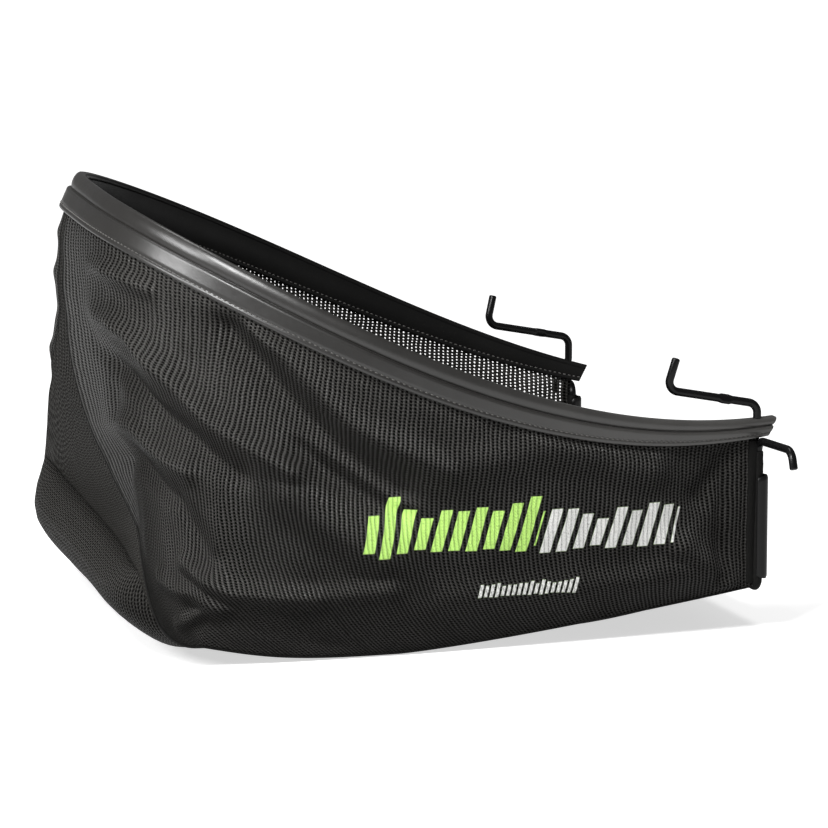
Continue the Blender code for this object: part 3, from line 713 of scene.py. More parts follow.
def pipe_mesh(points, radius, sides, bore=0.0, widths=None):
    """Round bar, or a pipe where it has a bore, along a path."""
    frames = section_frames(points)
    shells = [radius] if bore == 0 else [radius, bore]
    vertices = []
    for shell in shells:
        for index, (point, (side, up)) in enumerate(zip(points, frames)):
            wide, tall = widths[index] if widths else (1, 1)
            for k in range(sides):
                angle = 2 * math.pi * (k + 0.5) / sides
                reach = side * (math.cos(angle) * wide) + up * (math.sin(angle) * tall)
                vertices.append(point + reach * shell)
    layer = len(points) * sides
    faces = []
    for shell in range(len(shells)):
        faces += tube_faces(shell * layer, len(points), sides)
    for first in (0, layer - sides):
        if bore:
            faces += ring_faces(first, first + layer, sides)
        else:
            faces.append(tuple(range(first, first + sides)))
    return vertices, faces


def bent_path(corners, radii):
    """Path through corners, with each inner corner rounded to its radius."""
    path = [corners[0]]
    for index in range(1, len(corners) - 1):
        corner = corners[index]
        back = (corners[index - 1] - corner).normalized()
        ahead = (corners[index + 1] - corner).normalized()
        half = back.angle(ahead) / 2
        radius = radii[index - 1]
        reach = radius / math.tan(half)
        centre = corner + (back + ahead).normalized() * (radius / math.sin(half))
        start = corner + back * reach - centre
        end = corner + ahead * reach - centre
        turn = start.angle(end)
        for share in shares(BEND_STEPS):
            first = math.sin((1 - share) * turn) / math.sin(turn)
            second = math.sin(share * turn) / math.sin(turn)
            path.append(centre + start * first + end * second)
    path.append(corners[-1])
    return path


# Cloth panels

def wall_grid(paths, side):
    drops = shares(WALL_ROW_COUNT)
    grid = []
    for path in paths:
        distances = [from_side(path(drop), side) for drop in drops]
        column = [channel_foot(distances[0]) - DOWN * TUCK]
        grid.append(column + [fine_wall_point(*place) for place in zip(distances, drops)])
    return grid


def side_paths(side, count):
    """Paths of a side panel's columns, from its front edge to the rear seam."""
    seam_top = RIM_LENGTH * SEAM_TOP_SHARE[side]
    knots = [(CLOTH_START, 0), (STATIONS[SEAM_STATION - CORNER_ROWS // 2], SIDE_RUN),
             (seam_top, SIDE_RUN + CORNER_RUN / 2)]
    tops = [lerp(CLOTH_START, seam_top, share) for share in shares(count)]
    return tops, [column_path(top, piecewise(top, knots)) for top in tops]


def rear_paths(count):
    """Paths of the rear panel's columns, from its right seam to its left seam."""
    start = SIDE_RUN + CORNER_RUN / 2
    knots = [(0, start), (0.25, SIDE_RUN + CORNER_RUN), (0.75, OUTLINE_RUN - SIDE_RUN - CORNER_RUN),
             (1, OUTLINE_RUN - start)]
    paths = []
    for share in shares(count):
        top = RIM_LENGTH * lerp(SEAM_TOP_SHARE[RIGHT], 1 - SEAM_TOP_SHARE[LEFT], share)
        paths.append(column_path(top, piecewise(share, knots)))
    return paths


def rib_place(top):
    """Where a rib stands across the weave; the ribs stand wider apart round the rear corner."""
    late = max(0.0, top / RIM_LENGTH - WIDE_RIB_START)
    return top - RIM_LENGTH * WIDE_RIB_SHARE * late * late / (0.5 - WIDE_RIB_START) / 2


def make_side_panel(name, side, material, outside=None):
    tops, paths = side_paths(side, SIDE_COLUMNS)
    grid = wall_grid(paths, side)
    front = [point + Vector((SLEEVE_RADIUS, 0, 0)) for point in grid[0]]
    grid.insert(0, front)
    tops = [tops[0] - SLEEVE_RADIUS] + tops
    weave = [[(rib_place(top), length) for length in running_lengths(column)]
             for top, column in zip(tops, grid)]
    place = [[(point.x, point.z) for point in column] for column in grid]
    if side == LEFT:
        grid, weave, place = grid[::-1], weave[::-1], place[::-1]
    return make_sheet(name, grid, weave, material, outside, place=place), grid


def row_weave(grid):
    """Weave coordinates measured across each row from its middle, and down each column."""
    middle = len(grid) // 2
    downs = [running_lengths(column) for column in grid]
    weave = [[None] * len(grid[0]) for _ in grid]
    for j in range(len(grid[0])):
        weave[middle][j] = (0.0, downs[middle][j])
        for order, back in ((range(middle + 1, len(grid)), -1), (range(middle - 1, -1, -1), 1)):
            for i in order:
                step = (grid[i][j] - grid[i + back][j]).length
                weave[i][j] = (weave[i + back][j][0] - back * step, downs[i][j])
    return weave


def make_rear_panel(name, material):
    grid = wall_grid(rear_paths(REAR_COLUMNS), RIGHT)
    return make_sheet(name, grid, row_weave(grid), material), grid


def floor_point(across, share):
    """Point of the floor, by its place from right (-1) to left (1) and front (0) to rear (1)."""
    side = LEFT if across > 0 else RIGHT
    if share <= FLOOR_FRONT_SHARE:
        x = lerp(CLOTH_FRONT_X, CORNER_X, share / FLOOR_FRONT_SHARE)
        middle, end, angle = floor_middle(x), Vector((x, side * HALF_WIDTH, side_height(x))), 0
    else:
        angle = math.pi / 2 * (share - FLOOR_FRONT_SHARE) / (1 - FLOOR_FRONT_SHARE)
        middle, end = floor_end(angle), corner_point(side, angle)
    rise = clamp((abs(across) - FLAT_SPOT_SHARE) / (1 - FLAT_SPOT_SHARE)) ** EDGE_RISE_POWER
    point = middle.lerp(end, rise)
    point.y = end.y * abs(across)
    point.z += seam_lift(point.y, angle)
    edge = (1 - abs(across)) * min(1, (1 - share) * 12) * min(1, share * 12)
    size, depth = FLOOR_WAVE
    wave = noise.noise(Vector((point.x / size, point.y / size, 5)))
    point.z += depth * wave * clamp(edge * 4) * clamp(point.z / 0.004)
    return pulled(point)


def make_floor_panel(name, material):
    grid = []
    for index in range(FLOOR_COLUMNS + 1):
        across = math.sin(math.pi / 2 * (2 * index / FLOOR_COLUMNS - 1))
        grid.append([floor_point(across, share) for share in shares(FLOOR_ROWS)])
    front = [[column[0] + Vector((SLEEVE_RADIUS, 0, 0))] for column in grid]
    grid = [first + column for first, column in zip(front, grid)]
    return make_sheet(name, grid, row_weave(grid), material), grid


def make_seams(right_grid, left_grid, rear_grid, material):
    """Narrow raised welts round the side panels, where they are sewn to the rear and floor."""
    right = [column[-1] for column in right_grid[1:]] + rear_grid[0][-2:0:-1]
    left = [column[-1] for column in left_grid[-2::-1]] + rear_grid[-1][-2:0:-1]
    pieces = []
    for name, path in (("right_panel_seam", right), ("left_panel_seam", left)):
        vertices, faces = pipe_mesh(path, SEAM_RADIUS, 8)
        pieces.append(make_object(name, vertices, faces, material, 80))
    return pieces


# Plastic channel

def fine_section(height):
    """Outline of the channel: distance outward and depth below its top."""
    mm = 0.001
    wide = BORE_HALF + CHANNEL_WALL
    split = height * UPPER_BAND_SHARE
    points = [(wide + reach * mm, split * share) for reach, share in OUTER_BEAD]
    points += [(wide + reach * mm, split + below * mm) for reach, below in OUTER_STEP]
    points.append((wide + 1.1 * mm, lerp(split, height, 0.6)))
    points += [(wide + reach * mm, height - above * mm) for reach, above in OUTER_FOOT]
    points += [(SLOT_HALF, height), (SLOT_HALF, BORE_BOTTOM), (BORE_HALF, BORE_BOTTOM),
               (BORE_HALF, CHANNEL_ROOF), (-BORE_HALF, CHANNEL_ROOF), (-BORE_HALF, BORE_BOTTOM),
               (-SLOT_HALF, BORE_BOTTOM), (-SLOT_HALF, height)]
    points += [(-wide + reach * mm, height - above * mm) for reach, above in INNER_FOOT]
    points.append((-wide, height * 0.5))
    return points + [(-wide + reach * mm, below * mm) for reach, below in INNER_BEAD]


def rim_wobble(distance):
    """The soft plastic is not quite straight."""
    size, depth = RIM_WAVE
    return depth * noise.noise(Vector((distance / size, 2.0, 0)))


def make_channel(name, material, inside):
    vertices = []
    for index in range(CHANNEL_COUNT + 1):
        distance = RIM_LENGTH * index / CHANNEL_COUNT
        top = rim_point(distance)
        outward = channel_outward(distance)
        height = channel_height(distance)
        for reach, depth in fine_section(height):
            sway = rim_wobble(distance) * depth / height
            vertices.append(top + outward * (reach + sway) + DOWN * depth)
    count = len(fine_section(CHANNEL_REAR_HEIGHT))
    faces = tube_faces(0, CHANNEL_COUNT + 1, count)
    last = CHANNEL_COUNT * count
    faces += [tuple(range(count)), tuple(range(last, last + count))]
    channel = make_object(name, vertices, faces, material, 50)
    # The inner faces take the second material, a darker copy of the plastic: painted shade inside the bag
    channel.data.materials.append(inside)
    reaches = [reach for reach, depth in fine_section(CHANNEL_REAR_HEIGHT)]
    inner = [reaches[k] < 0 and reaches[(k + 1) % count] < 0 for k in range(count)]
    for face in channel.data.polygons[:CHANNEL_COUNT * count]:
        face.material_index = int(inner[face.index % count])
    return channel


def stitch_mesh(start, end, normal, width, vertices, faces):
    """One stitch: a thread that comes up, runs a little way and goes down."""
    along = (end - start).normalized()
    across = along.cross(normal).normalized()
    rings = [(0.0, 0.15, -0.3), (0.2, 1.0, 0.35), (0.8, 1.0, 0.35), (1.0, 0.15, -0.3)]
    first = len(vertices)
    for share, size, rise in rings:
        centre = start.lerp(end, share) + normal * rise * width
        for k in range(6):
            angle = math.pi * k / 3
            reach = across * math.cos(angle) + normal * math.sin(angle)
            vertices.append(centre + reach * (width * size / 2))
    faces += tube_faces(first, len(rings), 6)
    faces.append(tuple(range(first, first + 6)))
    faces.append(tuple(range(first + 18, first + 24)))


def make_rim_stitches(name, material):
    vertices, faces = [], []
    wide = BORE_HALF + CHANNEL_WALL
    count = int(RIM_LENGTH / STITCH_PITCH)
    for reach, rise in ((wide + 0.0006, 1), (-wide + 0.0003, -1)):
        for index in range(count):
            ends = []
            for share in (0.18, 0.80):
                distance = RIM_LENGTH * (index + share) / count
                outward = channel_outward(distance)
                height = channel_height(distance)
                depth = height - STITCH_FROM_EDGE
                sway = rim_wobble(distance) * depth / height
                ends.append(rim_point(distance) + outward * (reach + sway) + DOWN * depth)
            stitch_mesh(ends[0], ends[1], outward * rise, STITCH_WIDTH, vertices, faces)
    return make_object(name, vertices, faces, material, 80)


# Rods

def bore_point(distance):
    return rim_point(distance) + DOWN * BORE_DEPTH


def hook_corners(side):
    """Corners of a hook from its tip to where the rod enters the channel's bore."""
    leg = MOUTH_X - LEG_SETBACK
    base_z = FRONT_RIM_HEIGHT + HOOK_RISE - side * HOOK_TWIST
    entry = bore_point(from_side(LEG_SETBACK, side))
    y = entry.y
    elbow = Vector((leg - HOOK_RUN, y, base_z + HOOK_RUN_RISE))
    tip = elbow + Vector((HOOK_TIP_LEAN, side * HOOK_TIP_SPLAY, HOOK_TIP_RISE))
    return [tip, elbow, Vector((leg, y, base_z)), Vector((leg, y, entry.z))]


def eased_start(points, widths):
    """Path whose first end is slightly rounded."""
    along = (points[1] - points[0]).normalized()
    extra = [points[0] + along * reach for reach, size in ROUNDED_END]
    return extra + points[1:], [(size, size) for reach, size in ROUNDED_END] + widths[1:]


def top_rod_end(side):
    """Half of the top rod's free end, from the tip into the bore, with its crimp."""
    inside = from_side(STATIONS[1], side)
    tip, elbow, base, entry = hook_corners(side)
    path = bent_path([tip, elbow, base, entry, bore_point(inside)],
                     [BEND_RADIUS, BEND_RADIUS, TIGHT_BEND_RADIUS])
    direction = (elbow - base).normalized()
    flat = (CRIMP_WIDTH / ROD_DIAMETER, CRIMP_THICKNESS / ROD_DIAMETER)
    stations, sizes = [], []
    for share in shares(16):
        stations.append(base + direction * (CRIMP_FROM_LEG + CRIMP_LENGTH * (1 - share)))
        amount = ease(min(share, 1 - share) * CRIMP_LENGTH / CRIMP_TAPER)
        sizes.append((lerp(1, flat[0], amount), lerp(1, flat[1], amount)))
    past_elbow = 1 + BEND_STEPS + 1
    points = path[:past_elbow] + stations + path[past_elbow:]
    widths = [(1, 1)] * past_elbow + sizes + [(1, 1)] * (len(path) - past_elbow)
    return eased_start(points, widths)


def make_top_rod(name, material):
    right, right_widths = top_rod_end(RIGHT)
    left, left_widths = top_rod_end(LEFT)
    middle = [bore_point(lerp(STATIONS[2], STATIONS[-3], share)) for share in shares(110)]
    points = right + middle + left[::-1]
    widths = right_widths + [(1, 1)] * len(middle) + left_widths[::-1]
    vertices, faces = pipe_mesh(points, ROD_RADIUS, ROD_SIDES, widths=widths)
    return make_object(name, vertices, faces, material, 50)


def arm_height(side):
    """Height of an arm's axis, which runs just below the channel's lower edge."""
    heights = []
    for x in (UPRIGHT_X - ROD_RADIUS, UPRIGHT_X + ROD_RADIUS):
        heights.append(channel_foot(from_side(distance_of_foot(x), side)).z)
    return min(heights) - ROD_CLEARANCE - ROD_RADIUS


def arm_corners(side):
    """Corners of the front rod from an arm's end to the bottom bar's corner."""
    y = side * HALF_WIDTH
    z = arm_height(side)
    bend = Vector((UPRIGHT_X + ARM_SWEEP, y + side * ARM_REACH, z))
    end = bend + Vector((0, side * ARM_END_SPLAY, -ARM_END_DROP))
    return [end, bend, Vector((UPRIGHT_X, y, z)), Vector((UPRIGHT_X, y, BOTTOM_BAR_HEIGHT))]


def make_front_rod(name, material):
    corners = arm_corners(RIGHT) + arm_corners(LEFT)[::-1]
    radii = [ARM_BEND_RADIUS, BEND_RADIUS, TIGHT_BEND_RADIUS]
    radii += radii[::-1]
    points = bent_path(corners, radii)
    widths = [(1, 1)] * len(points)
    points, widths = eased_start(points, widths)
    points, widths = eased_start(points[::-1], widths[::-1])
    vertices, faces = pipe_mesh(points, ROD_RADIUS, ROD_SIDES, widths=widths)
    return make_object(name, vertices, faces, material, 50)


# Sleeves, hems and clips

def crumpled(vertices, size, depth, seed):
    """Small creases of a cloth sleeve."""
    result = []
    for vertex in vertices:
        place = Vector((vertex.x / size, vertex.y / size, vertex.z / size + seed))
        result.append(vertex + noise.noise_vector(place) * depth)
    return result


def make_edge_sleeve(name, side, material):
    """Cloth sleeve on an upright."""
    y = side * HALF_WIDTH
    top = arm_height(side) - BEND_RADIUS
    path = [Vector((UPRIGHT_X, y, lerp(HEM_TOP + CLOTH_GAP, top, share))) for share in shares(60)]
    vertices, faces = pipe_mesh(path, SLEEVE_RADIUS, 28, bore=BORE_HALF)
    return make_object(name, crumpled(vertices, 0.006, 0.00035, 3), faces, material, 60)


def make_floor_hem(name, material):
    """Cloth sleeve on the bottom bar and its two corners."""
    corners = []
    for side in (RIGHT, LEFT):
        y = side * HALF_WIDTH
        pair = [Vector((UPRIGHT_X, y, HEM_TOP)), Vector((UPRIGHT_X, y, BOTTOM_BAR_HEIGHT))]
        corners += pair if side == RIGHT else pair[::-1]
    path = bent_path(corners, [TIGHT_BEND_RADIUS] * 2)
    middle = len(path) // 2
    count = 90
    bar = [path[middle - 1].lerp(path[middle], step / count) for step in range(1, count)]
    path = path[:middle] + bar + path[middle:]
    vertices, faces = pipe_mesh(path, SLEEVE_RADIUS, 24, bore=BORE_HALF)
    return make_object(name, crumpled(vertices, 0.007, 0.00035, 8), faces, material, 60)


def make_edge_hem(name, side, material):
    """Doubled band of cloth behind an upright, sewn to the side panel."""
    grid = []
    for share in shares(10):
        distance = from_side(CLOTH_START + HEM_WIDTH * share, side)
        puff = HEM_STAND * math.sin(math.pi * clamp(share * 0.8 + 0.1))
        column = []
        for row in shares(80):
            point = fine_wall_point(distance, lerp(0.02, 0.97, row))
            point.x += SLEEVE_RADIUS * (1 - share)
            point.y += side * puff
            column.append(point)
        grid.append(column)
    if side == LEFT:
        grid = grid[::-1]
    return make_sheet(name, grid, row_weave(grid), material, thickness=0.0005)


def make_edge_clip(name, side, material):
    """Springy plastic clip, open to the rear, that grips an edge sleeve."""
    half = math.pi - CLIP_OPENING / 2
    around, up = 36, 40
    rounding = 0.0007
    vertices = []
    for radius in (CLIP_RADIUS + CLIP_WALL, CLIP_RADIUS):
        for share in shares(up):
            for turn in [lerp(-1, 1, step) for step in shares(around)]:
                low = CLIP_BOTTOM + CLIP_ROUND * turn ** 4
                high = CLIP_BOTTOM + CLIP_LENGTH - CLIP_ROUND * turn ** 4
                edge = min(share, 1 - share, (1 - abs(turn)) * 0.8) * CLIP_LENGTH
                ease_in = rounding * (1 - ease(edge / 0.0016))
                reach = radius - ease_in if radius > CLIP_RADIUS else radius + ease_in * 0.6
                angle = turn * half
                x = UPRIGHT_X + CLIP_OFFSET + reach * math.cos(angle)
                y = side * HALF_WIDTH + reach * math.sin(angle)
                vertices.append(Vector((x, y, lerp(low, high, share))))
    width = around + 1
    layer = width * (up + 1)
    faces = grid_faces(up + 1, width) + grid_faces(up + 1, width, layer)
    for step in range(around):
        for first in (step, up * width + step):
            faces.append((first, first + 1, layer + first + 1, layer + first))
    for row in range(up):
        for first in (row * width, row * width + around):
            faces.append((first, first + width, layer + first + width, layer + first))
    return make_object(name, vertices, faces, material, 50)


# Materials

class Nodes:
    """Short way to write a material's nodes."""

    def __init__(self, name):
        self.material = bpy.data.materials.new(name)
        self.material.use_nodes = True
        self.tree = self.material.node_tree
        self.shader = self.tree.nodes["Principled BSDF"]

    def add(self, kind, **settings):
        node = self.tree.nodes.new(kind)
        for key, value in settings.items():
            setattr(node, key, value)
        return node

    def put(self, value, socket):
        if isinstance(value, bpy.types.NodeSocket):
            self.tree.links.new(value, socket)
        else:
            socket.default_value = value

    def math(self, operation, *values):
        node = self.add("ShaderNodeMath", operation=operation)
        for value, socket in zip(values, node.inputs):
            self.put(value, socket)
        return node.outputs[0]

    def plus(self, first, second):
        return self.math("ADD", first, second)

    def minus(self, first, second):
        return self.math("SUBTRACT", first, second)

    def times(self, first, second):
        return self.math("MULTIPLY", first, second)

    def over(self, first, second):
        return self.math("DIVIDE", first, second)

    def from_middle(self, value):
        """Distance of a value from the middle between two whole numbers."""
        return self.math("ABSOLUTE", self.minus(self.math("FRACT", value), 0.5))

    def blend(self, share, first, second):
        node = self.add("ShaderNodeMix", data_type="RGBA", clamp_factor=True)
        self.put(share, node.inputs[0])
        for value, socket in ((first, node.inputs[6]), (second, node.inputs[7])):
            if isinstance(value, tuple):
                value = (*value, 1)
            self.put(value, socket)
        return node.outputs[2]

    def number(self, share, first, second):
        """Number that goes from first to second with a share from 0 to 1."""
        node = self.add("ShaderNodeMapRange", clamp=True)
        self.put(share, node.inputs[0])
        self.put(first, node.inputs[3])
        self.put(second, node.inputs[4])
        return node.outputs[0]

    def step(self, value, low, high):
        """Share from 0 to 1 as a value goes from low to high."""
        node = self.add("ShaderNodeMapRange", clamp=True, interpolation_type="SMOOTHSTEP")
        self.put(value, node.inputs[0])
        self.put(low, node.inputs[1])
        self.put(high, node.inputs[2])
        return node.outputs[0]

    def place(self):
        return self.add("ShaderNodeTexCoord").outputs["Object"]

    def parts(self, vector):
        node = self.add("ShaderNodeSeparateXYZ")
        self.put(vector, node.inputs[0])
        return tuple(node.outputs)

    def uv(self, label):
        return self.parts(self.add("ShaderNodeUVMap", uv_map=label).outputs[0])[:2]

    def point(self, x, y, z=0.0):
        node = self.add("ShaderNodeCombineXYZ")
        for value, socket in zip((x, y, z), node.inputs):
            self.put(value, socket)
        return node.outputs[0]

    def clouds(self, place, scale, detail=2.0, roughness=0.5):
        """Smooth noise from 0 to 1."""
        node = self.add("ShaderNodeTexNoise")
        self.put(place, node.inputs["Vector"])
        node.inputs["Scale"].default_value = scale
        node.inputs["Detail"].default_value = detail
        node.inputs["Roughness"].default_value = roughness
        return node.outputs["Fac"]

    def bump(self, height, distance, normal=None):
        node = self.add("ShaderNodeBump")
        node.inputs["Strength"].default_value = 1.0
        node.inputs["Distance"].default_value = distance
        self.put(height, node.inputs["Height"])
        if normal is not None:
            self.put(normal, node.inputs["Normal"])
        return node.outputs[0]

    def set(self, **sockets):
        for label, value in sockets.items():
            socket = self.shader.inputs[label.replace("_", " ")]
            if isinstance(value, tuple) and len(value) == 3:
                value = (*value, 1)
            self.put(value, socket)


def slanted_bars(nodes, x, z, first, last, low, high, pitch, fill, seed, ragged):
    """Mask of a row of slanted bars between two places, of uneven heights."""
    leaning = nodes.plus(x, nodes.times(z, -BAR_SLANT))
    first -= BAR_SLANT * (low + high) / 2
    last -= BAR_SLANT * (low + high) / 2
    cell = nodes.over(nodes.minus(leaning, first), pitch)
    index = nodes.math("FLOOR", cell)
    inside = nodes.from_middle(cell)
    bar = nodes.step(inside, fill / 2 + 0.02, fill / 2 - 0.02)
    chance = nodes.add("ShaderNodeTexWhiteNoise", noise_dimensions="1D")
    nodes.put(nodes.plus(index, seed), chance.inputs["W"])
    reach = nodes.times(chance.outputs["Value"], ragged)
    top = nodes.minus(high, reach)
    bottom = nodes.plus(low, nodes.times(reach, 0.35))
    edge = 0.0006
    mask = nodes.times(bar, nodes.step(z, bottom, nodes.plus(bottom, edge)))
    mask = nodes.times(mask, nodes.step(z, top, nodes.minus(top, edge)))
    mask = nodes.times(mask, nodes.math("GREATER_THAN", leaning, first))
    return nodes.times(mask, nodes.math("LESS_THAN", leaning, last))


def make_mesh_cloth(name, printed=False, rib_pitch=0.0032, row_pitch=0.00235, open_share=1.0,
                    clear_share=0.0, shine=1.0, relief=0.0010, painted_shade_tone=1.0, sheen=0.02):
    """Knitted mesh: glossy chains of stitches down the cloth, with holes between them."""
    nodes = Nodes(name)
    u, v = nodes.uv("weave")
    place = nodes.point(u, v)
    wander = nodes.minus(nodes.clouds(place, 90, 1), 0.5)
    across = nodes.plus(nodes.over(u, rib_pitch), nodes.times(wander, 0.5))
    sway = nodes.minus(nodes.clouds(place, 150, 1), 0.5)
    down = nodes.plus(nodes.over(v, row_pitch), nodes.times(sway, 0.7))

    # The ribs run down the cloth, half a pitch from each gap
    gap = nodes.math("FLOOR", nodes.plus(across, 0.5))
    stagger = nodes.math("FRACT", nodes.times(gap, 0.5))
    from_rib = nodes.from_middle(across)
    crown = nodes.step(from_rib, 0.34, 0.05)

    # Each stitch of a chain is a pair of strands that lean together
    lean = nodes.minus(down, nodes.times(from_rib, 1.5))
    strand = nodes.step(nodes.from_middle(lean), 0.50, 0.12)
    split = nodes.step(from_rib, 0.0, 0.09)
    thread = nodes.times(crown, nodes.number(strand, 0.30, 1.0))
    thread = nodes.times(thread, nodes.number(split, 0.65, 1.0))

    # Threads cross between the ribs, with a hole under each crossing
    row = nodes.from_middle(nodes.plus(down, stagger))
    bridge = nodes.times(nodes.step(row, 0.25, 0.46), 0.42)
    height = nodes.math("MAXIMUM", thread, bridge)
    from_gap = nodes.minus(0.5, from_rib)
    # Towards the front the cloth is less stretched and looks more like a net
    net = nodes.number(nodes.step(u, 0.45, 0.15), 0.19 * open_share, 0.25 * open_share)
    hole_x = nodes.over(from_gap, net)
    hole_y = nodes.over(row, 0.33 * open_share)
    reach = nodes.plus(nodes.times(hole_x, hole_x), nodes.times(hole_y, hole_y))
    rim = nodes.step(reach, 0.60, 1.40)
    height = nodes.times(height, rim)
    solid = nodes.step(reach, clear_share * 0.85, max(clear_share, 0.01))

    broad = nodes.clouds(place, 28, 3)
    dust = nodes.step(nodes.clouds(place, 900, 2), 0.60, 0.78)
    dark = nodes.blend(broad, (0.0060, 0.0057, 0.0052), (0.0085, 0.0081, 0.0074))
    # Threads that face up are painted lighter and get more specular, a painted top light; round the rear
    # corner this painted light fades out
    facing = nodes.parts(nodes.add("ShaderNodeNewGeometry").outputs["Normal"])
    wear_and_painted_top_light = nodes.step(facing[2], -0.30, 0.60)
    painted_top_light_fade = nodes.step(u, 0.385 * RIM_LENGTH, 0.440 * RIM_LENGTH)
    wear_and_painted_top_light = nodes.times(wear_and_painted_top_light, nodes.number(painted_top_light_fade, 1.0, 0.0))
    # Thread colours are scaled by the painted shade tone, a painted shade that the rear and floor cloth
    # take
    low, high = 0.032 * painted_shade_tone, 0.090 * painted_shade_tone
    light = nodes.blend(wear_and_painted_top_light, (low, low * 0.965, low * 0.90), (high, high * 0.965, high * 0.90))
    # Threads are painted lighter on their crowns and darker where the relief is low: painted shade between
    # the strands, over the yarn's own uneven tone
    colour = nodes.blend(height, dark, light)
    colour = nodes.blend(nodes.times(dust, 0.10), colour, (0.13, 0.125, 0.11))
    # Holes are painted near black: painted shade of the dark inside of the bag seen through them
    colour = nodes.blend(rim, (0.0015, 0.0014, 0.0013), colour)
    gloss = nodes.number(height, 0.56, 0.32)

    if printed:
        x, z = nodes.uv("place")
        grass = slanted_bars(nodes, x, z, *GREEN_BARS)
        pale = slanted_bars(nodes, x, z, *PALE_BARS)
        small = slanted_bars(nodes, x, z, *SMALL_BARS)
        pale = nodes.math("MAXIMUM", pale, small)
        worn = nodes.step(nodes.clouds(place, 420, 3, 0.7), 0.70, 0.58)
        inked = nodes.math("MAXIMUM", grass, pale)
        inked = nodes.times(inked, nodes.number(worn, 0.55, 1.0))
        # The ink is painted lighter on the thread crowns and darker where the relief is low: painted shade
        # between the strands
        crown_painted_light = nodes.number(height, 0.82, 1.0)
        green = nodes.blend(crown_painted_light, (0.33, 0.62, 0.12), (0.53, 0.86, 0.20))
        grey = nodes.blend(crown_painted_light, (0.55, 0.55, 0.53), (0.80, 0.80, 0.78))
        ink = nodes.blend(pale, green, grey)
        colour = nodes.blend(inked, colour, ink)
        gloss = nodes.number(inked, gloss, 0.55)
        height = nodes.plus(height, nodes.times(inked, 0.2))

    nodes.set(Base_Color=colour, Roughness=gloss)
    if clear_share:
        # No light comes through the doubled cloth beside the rear seam
        doubled = nodes.step(u, 0.416 * RIM_LENGTH, 0.422 * RIM_LENGTH)
        nodes.set(Alpha=nodes.math("MAXIMUM", solid, doubled))
    # Specular is stronger on the threads and where the painted top light falls
    glint = nodes.times(nodes.times(rim, height), nodes.number(wear_and_painted_top_light, 0.35, 1.0))
    nodes.set(Specular_IOR_Level=nodes.number(glint, 0.0, shine))
    nodes.set(Normal=nodes.bump(height, relief))
    nodes.set(Sheen_Weight=sheen, Sheen_Roughness=0.45, Sheen_Tint=(0.9, 0.9, 0.88))
    return nodes.material


def make_plastic(name, dark, light, rough_low, rough_high, specular=0.5, front=None):
    """Soft extruded plastic, a little wavy, with faint rubbed and dusty patches, and painted light towards
    the front where a front colour is given.
    """
    nodes = Nodes(name)
    place = nodes.place()
    broad = nodes.clouds(place, 22, 3)
    fine = nodes.clouds(place, 260, 3, 0.6)
    specks = nodes.step(nodes.clouds(place, 1500, 2), 0.66, 0.78)
    colour = nodes.blend(broad, dark, light)
    if front:
        # Painted light: towards the front the colour turns to the given lighter one, standing in for the
        # floor's reflection on the band
        painted_front_light = nodes.step(nodes.parts(place)[0], -0.02, 0.20)
        colour = nodes.blend(nodes.times(painted_front_light, nodes.number(broad, 0.6, 1.0)), colour, front)
    colour = nodes.blend(nodes.times(specks, 0.14), colour, (0.16, 0.155, 0.14))
    rough = nodes.number(nodes.times(nodes.plus(broad, fine), 0.5), rough_low, rough_high)
    nodes.set(Base_Color=colour, Roughness=rough)
    nodes.set(Specular_IOR_Level=specular)
    wavy = nodes.bump(nodes.clouds(place, 30, 1), PLASTIC_WAVE * 6)
    nodes.set(Normal=nodes.bump(fine, PLASTIC_WAVE * 0.5, wavy))
    return nodes.material


def make_steel(name):
    """Steel rod under a satin black coating, rubbed here and there."""
    nodes = Nodes(name)
    place = nodes.place()
    broad = nodes.clouds(place, 35, 3)
    grain = nodes.clouds(place, 1400, 2)
    wear_and_painted_top_light = nodes.step(nodes.clouds(place, 120, 5, 0.65), 0.64, 0.72)
    colour = nodes.blend(broad, (0.003, 0.003, 0.0032), (0.006, 0.006, 0.0062))
    colour = nodes.blend(nodes.times(wear_and_painted_top_light, 0.30), colour, (0.05, 0.049, 0.047))
    nodes.set(Base_Color=colour, Roughness=nodes.number(broad, 0.20, 0.32))
    nodes.set(Normal=nodes.bump(grain, 0.00004))
    nodes.set(Specular_IOR_Level=0.18)
    return nodes.material


def make_binding(name, dark, light):
    """Tightly woven cloth of the sleeves and hems."""
    nodes = Nodes(name)
    place = nodes.place()
    x, y, z = nodes.parts(place)
    round_it = nodes.plus(x, y)
    warp = nodes.math("SINE", nodes.times(z, 2 * math.pi / 0.0008))
    weft = nodes.math("SINE", nodes.times(round_it, 2 * math.pi / 0.0009))
    weave = nodes.math("MULTIPLY_ADD", nodes.times(warp, weft), 0.5, 0.5)
    broad = nodes.clouds(place, 60, 3)
    lint = nodes.step(nodes.clouds(place, 1100, 2), 0.66, 0.80)
    colour = nodes.blend(nodes.times(weave, broad), dark, light)
    colour = nodes.blend(nodes.times(lint, 0.15), colour, (0.20, 0.19, 0.17))
    nodes.set(Base_Color=colour, Roughness=nodes.number(broad, 0.55, 0.75))
    nodes.set(Normal=nodes.bump(weave, 0.00018))
    nodes.set(Sheen_Weight=0.0, Specular_IOR_Level=0.12)
    return nodes.material


def make_thread(name):
    """Twisted sewing thread."""
    nodes = Nodes(name)
    place = nodes.place()
    fine = nodes.clouds(place, 2200, 2)
    colour = nodes.blend(fine, (0.030, 0.029, 0.027), (0.11, 0.105, 0.098))
    nodes.set(Base_Color=colour, Roughness=0.5)
    nodes.set(Normal=nodes.bump(fine, 0.0001))
    nodes.set(Sheen_Weight=0.1)
    return nodes.material


# Stage

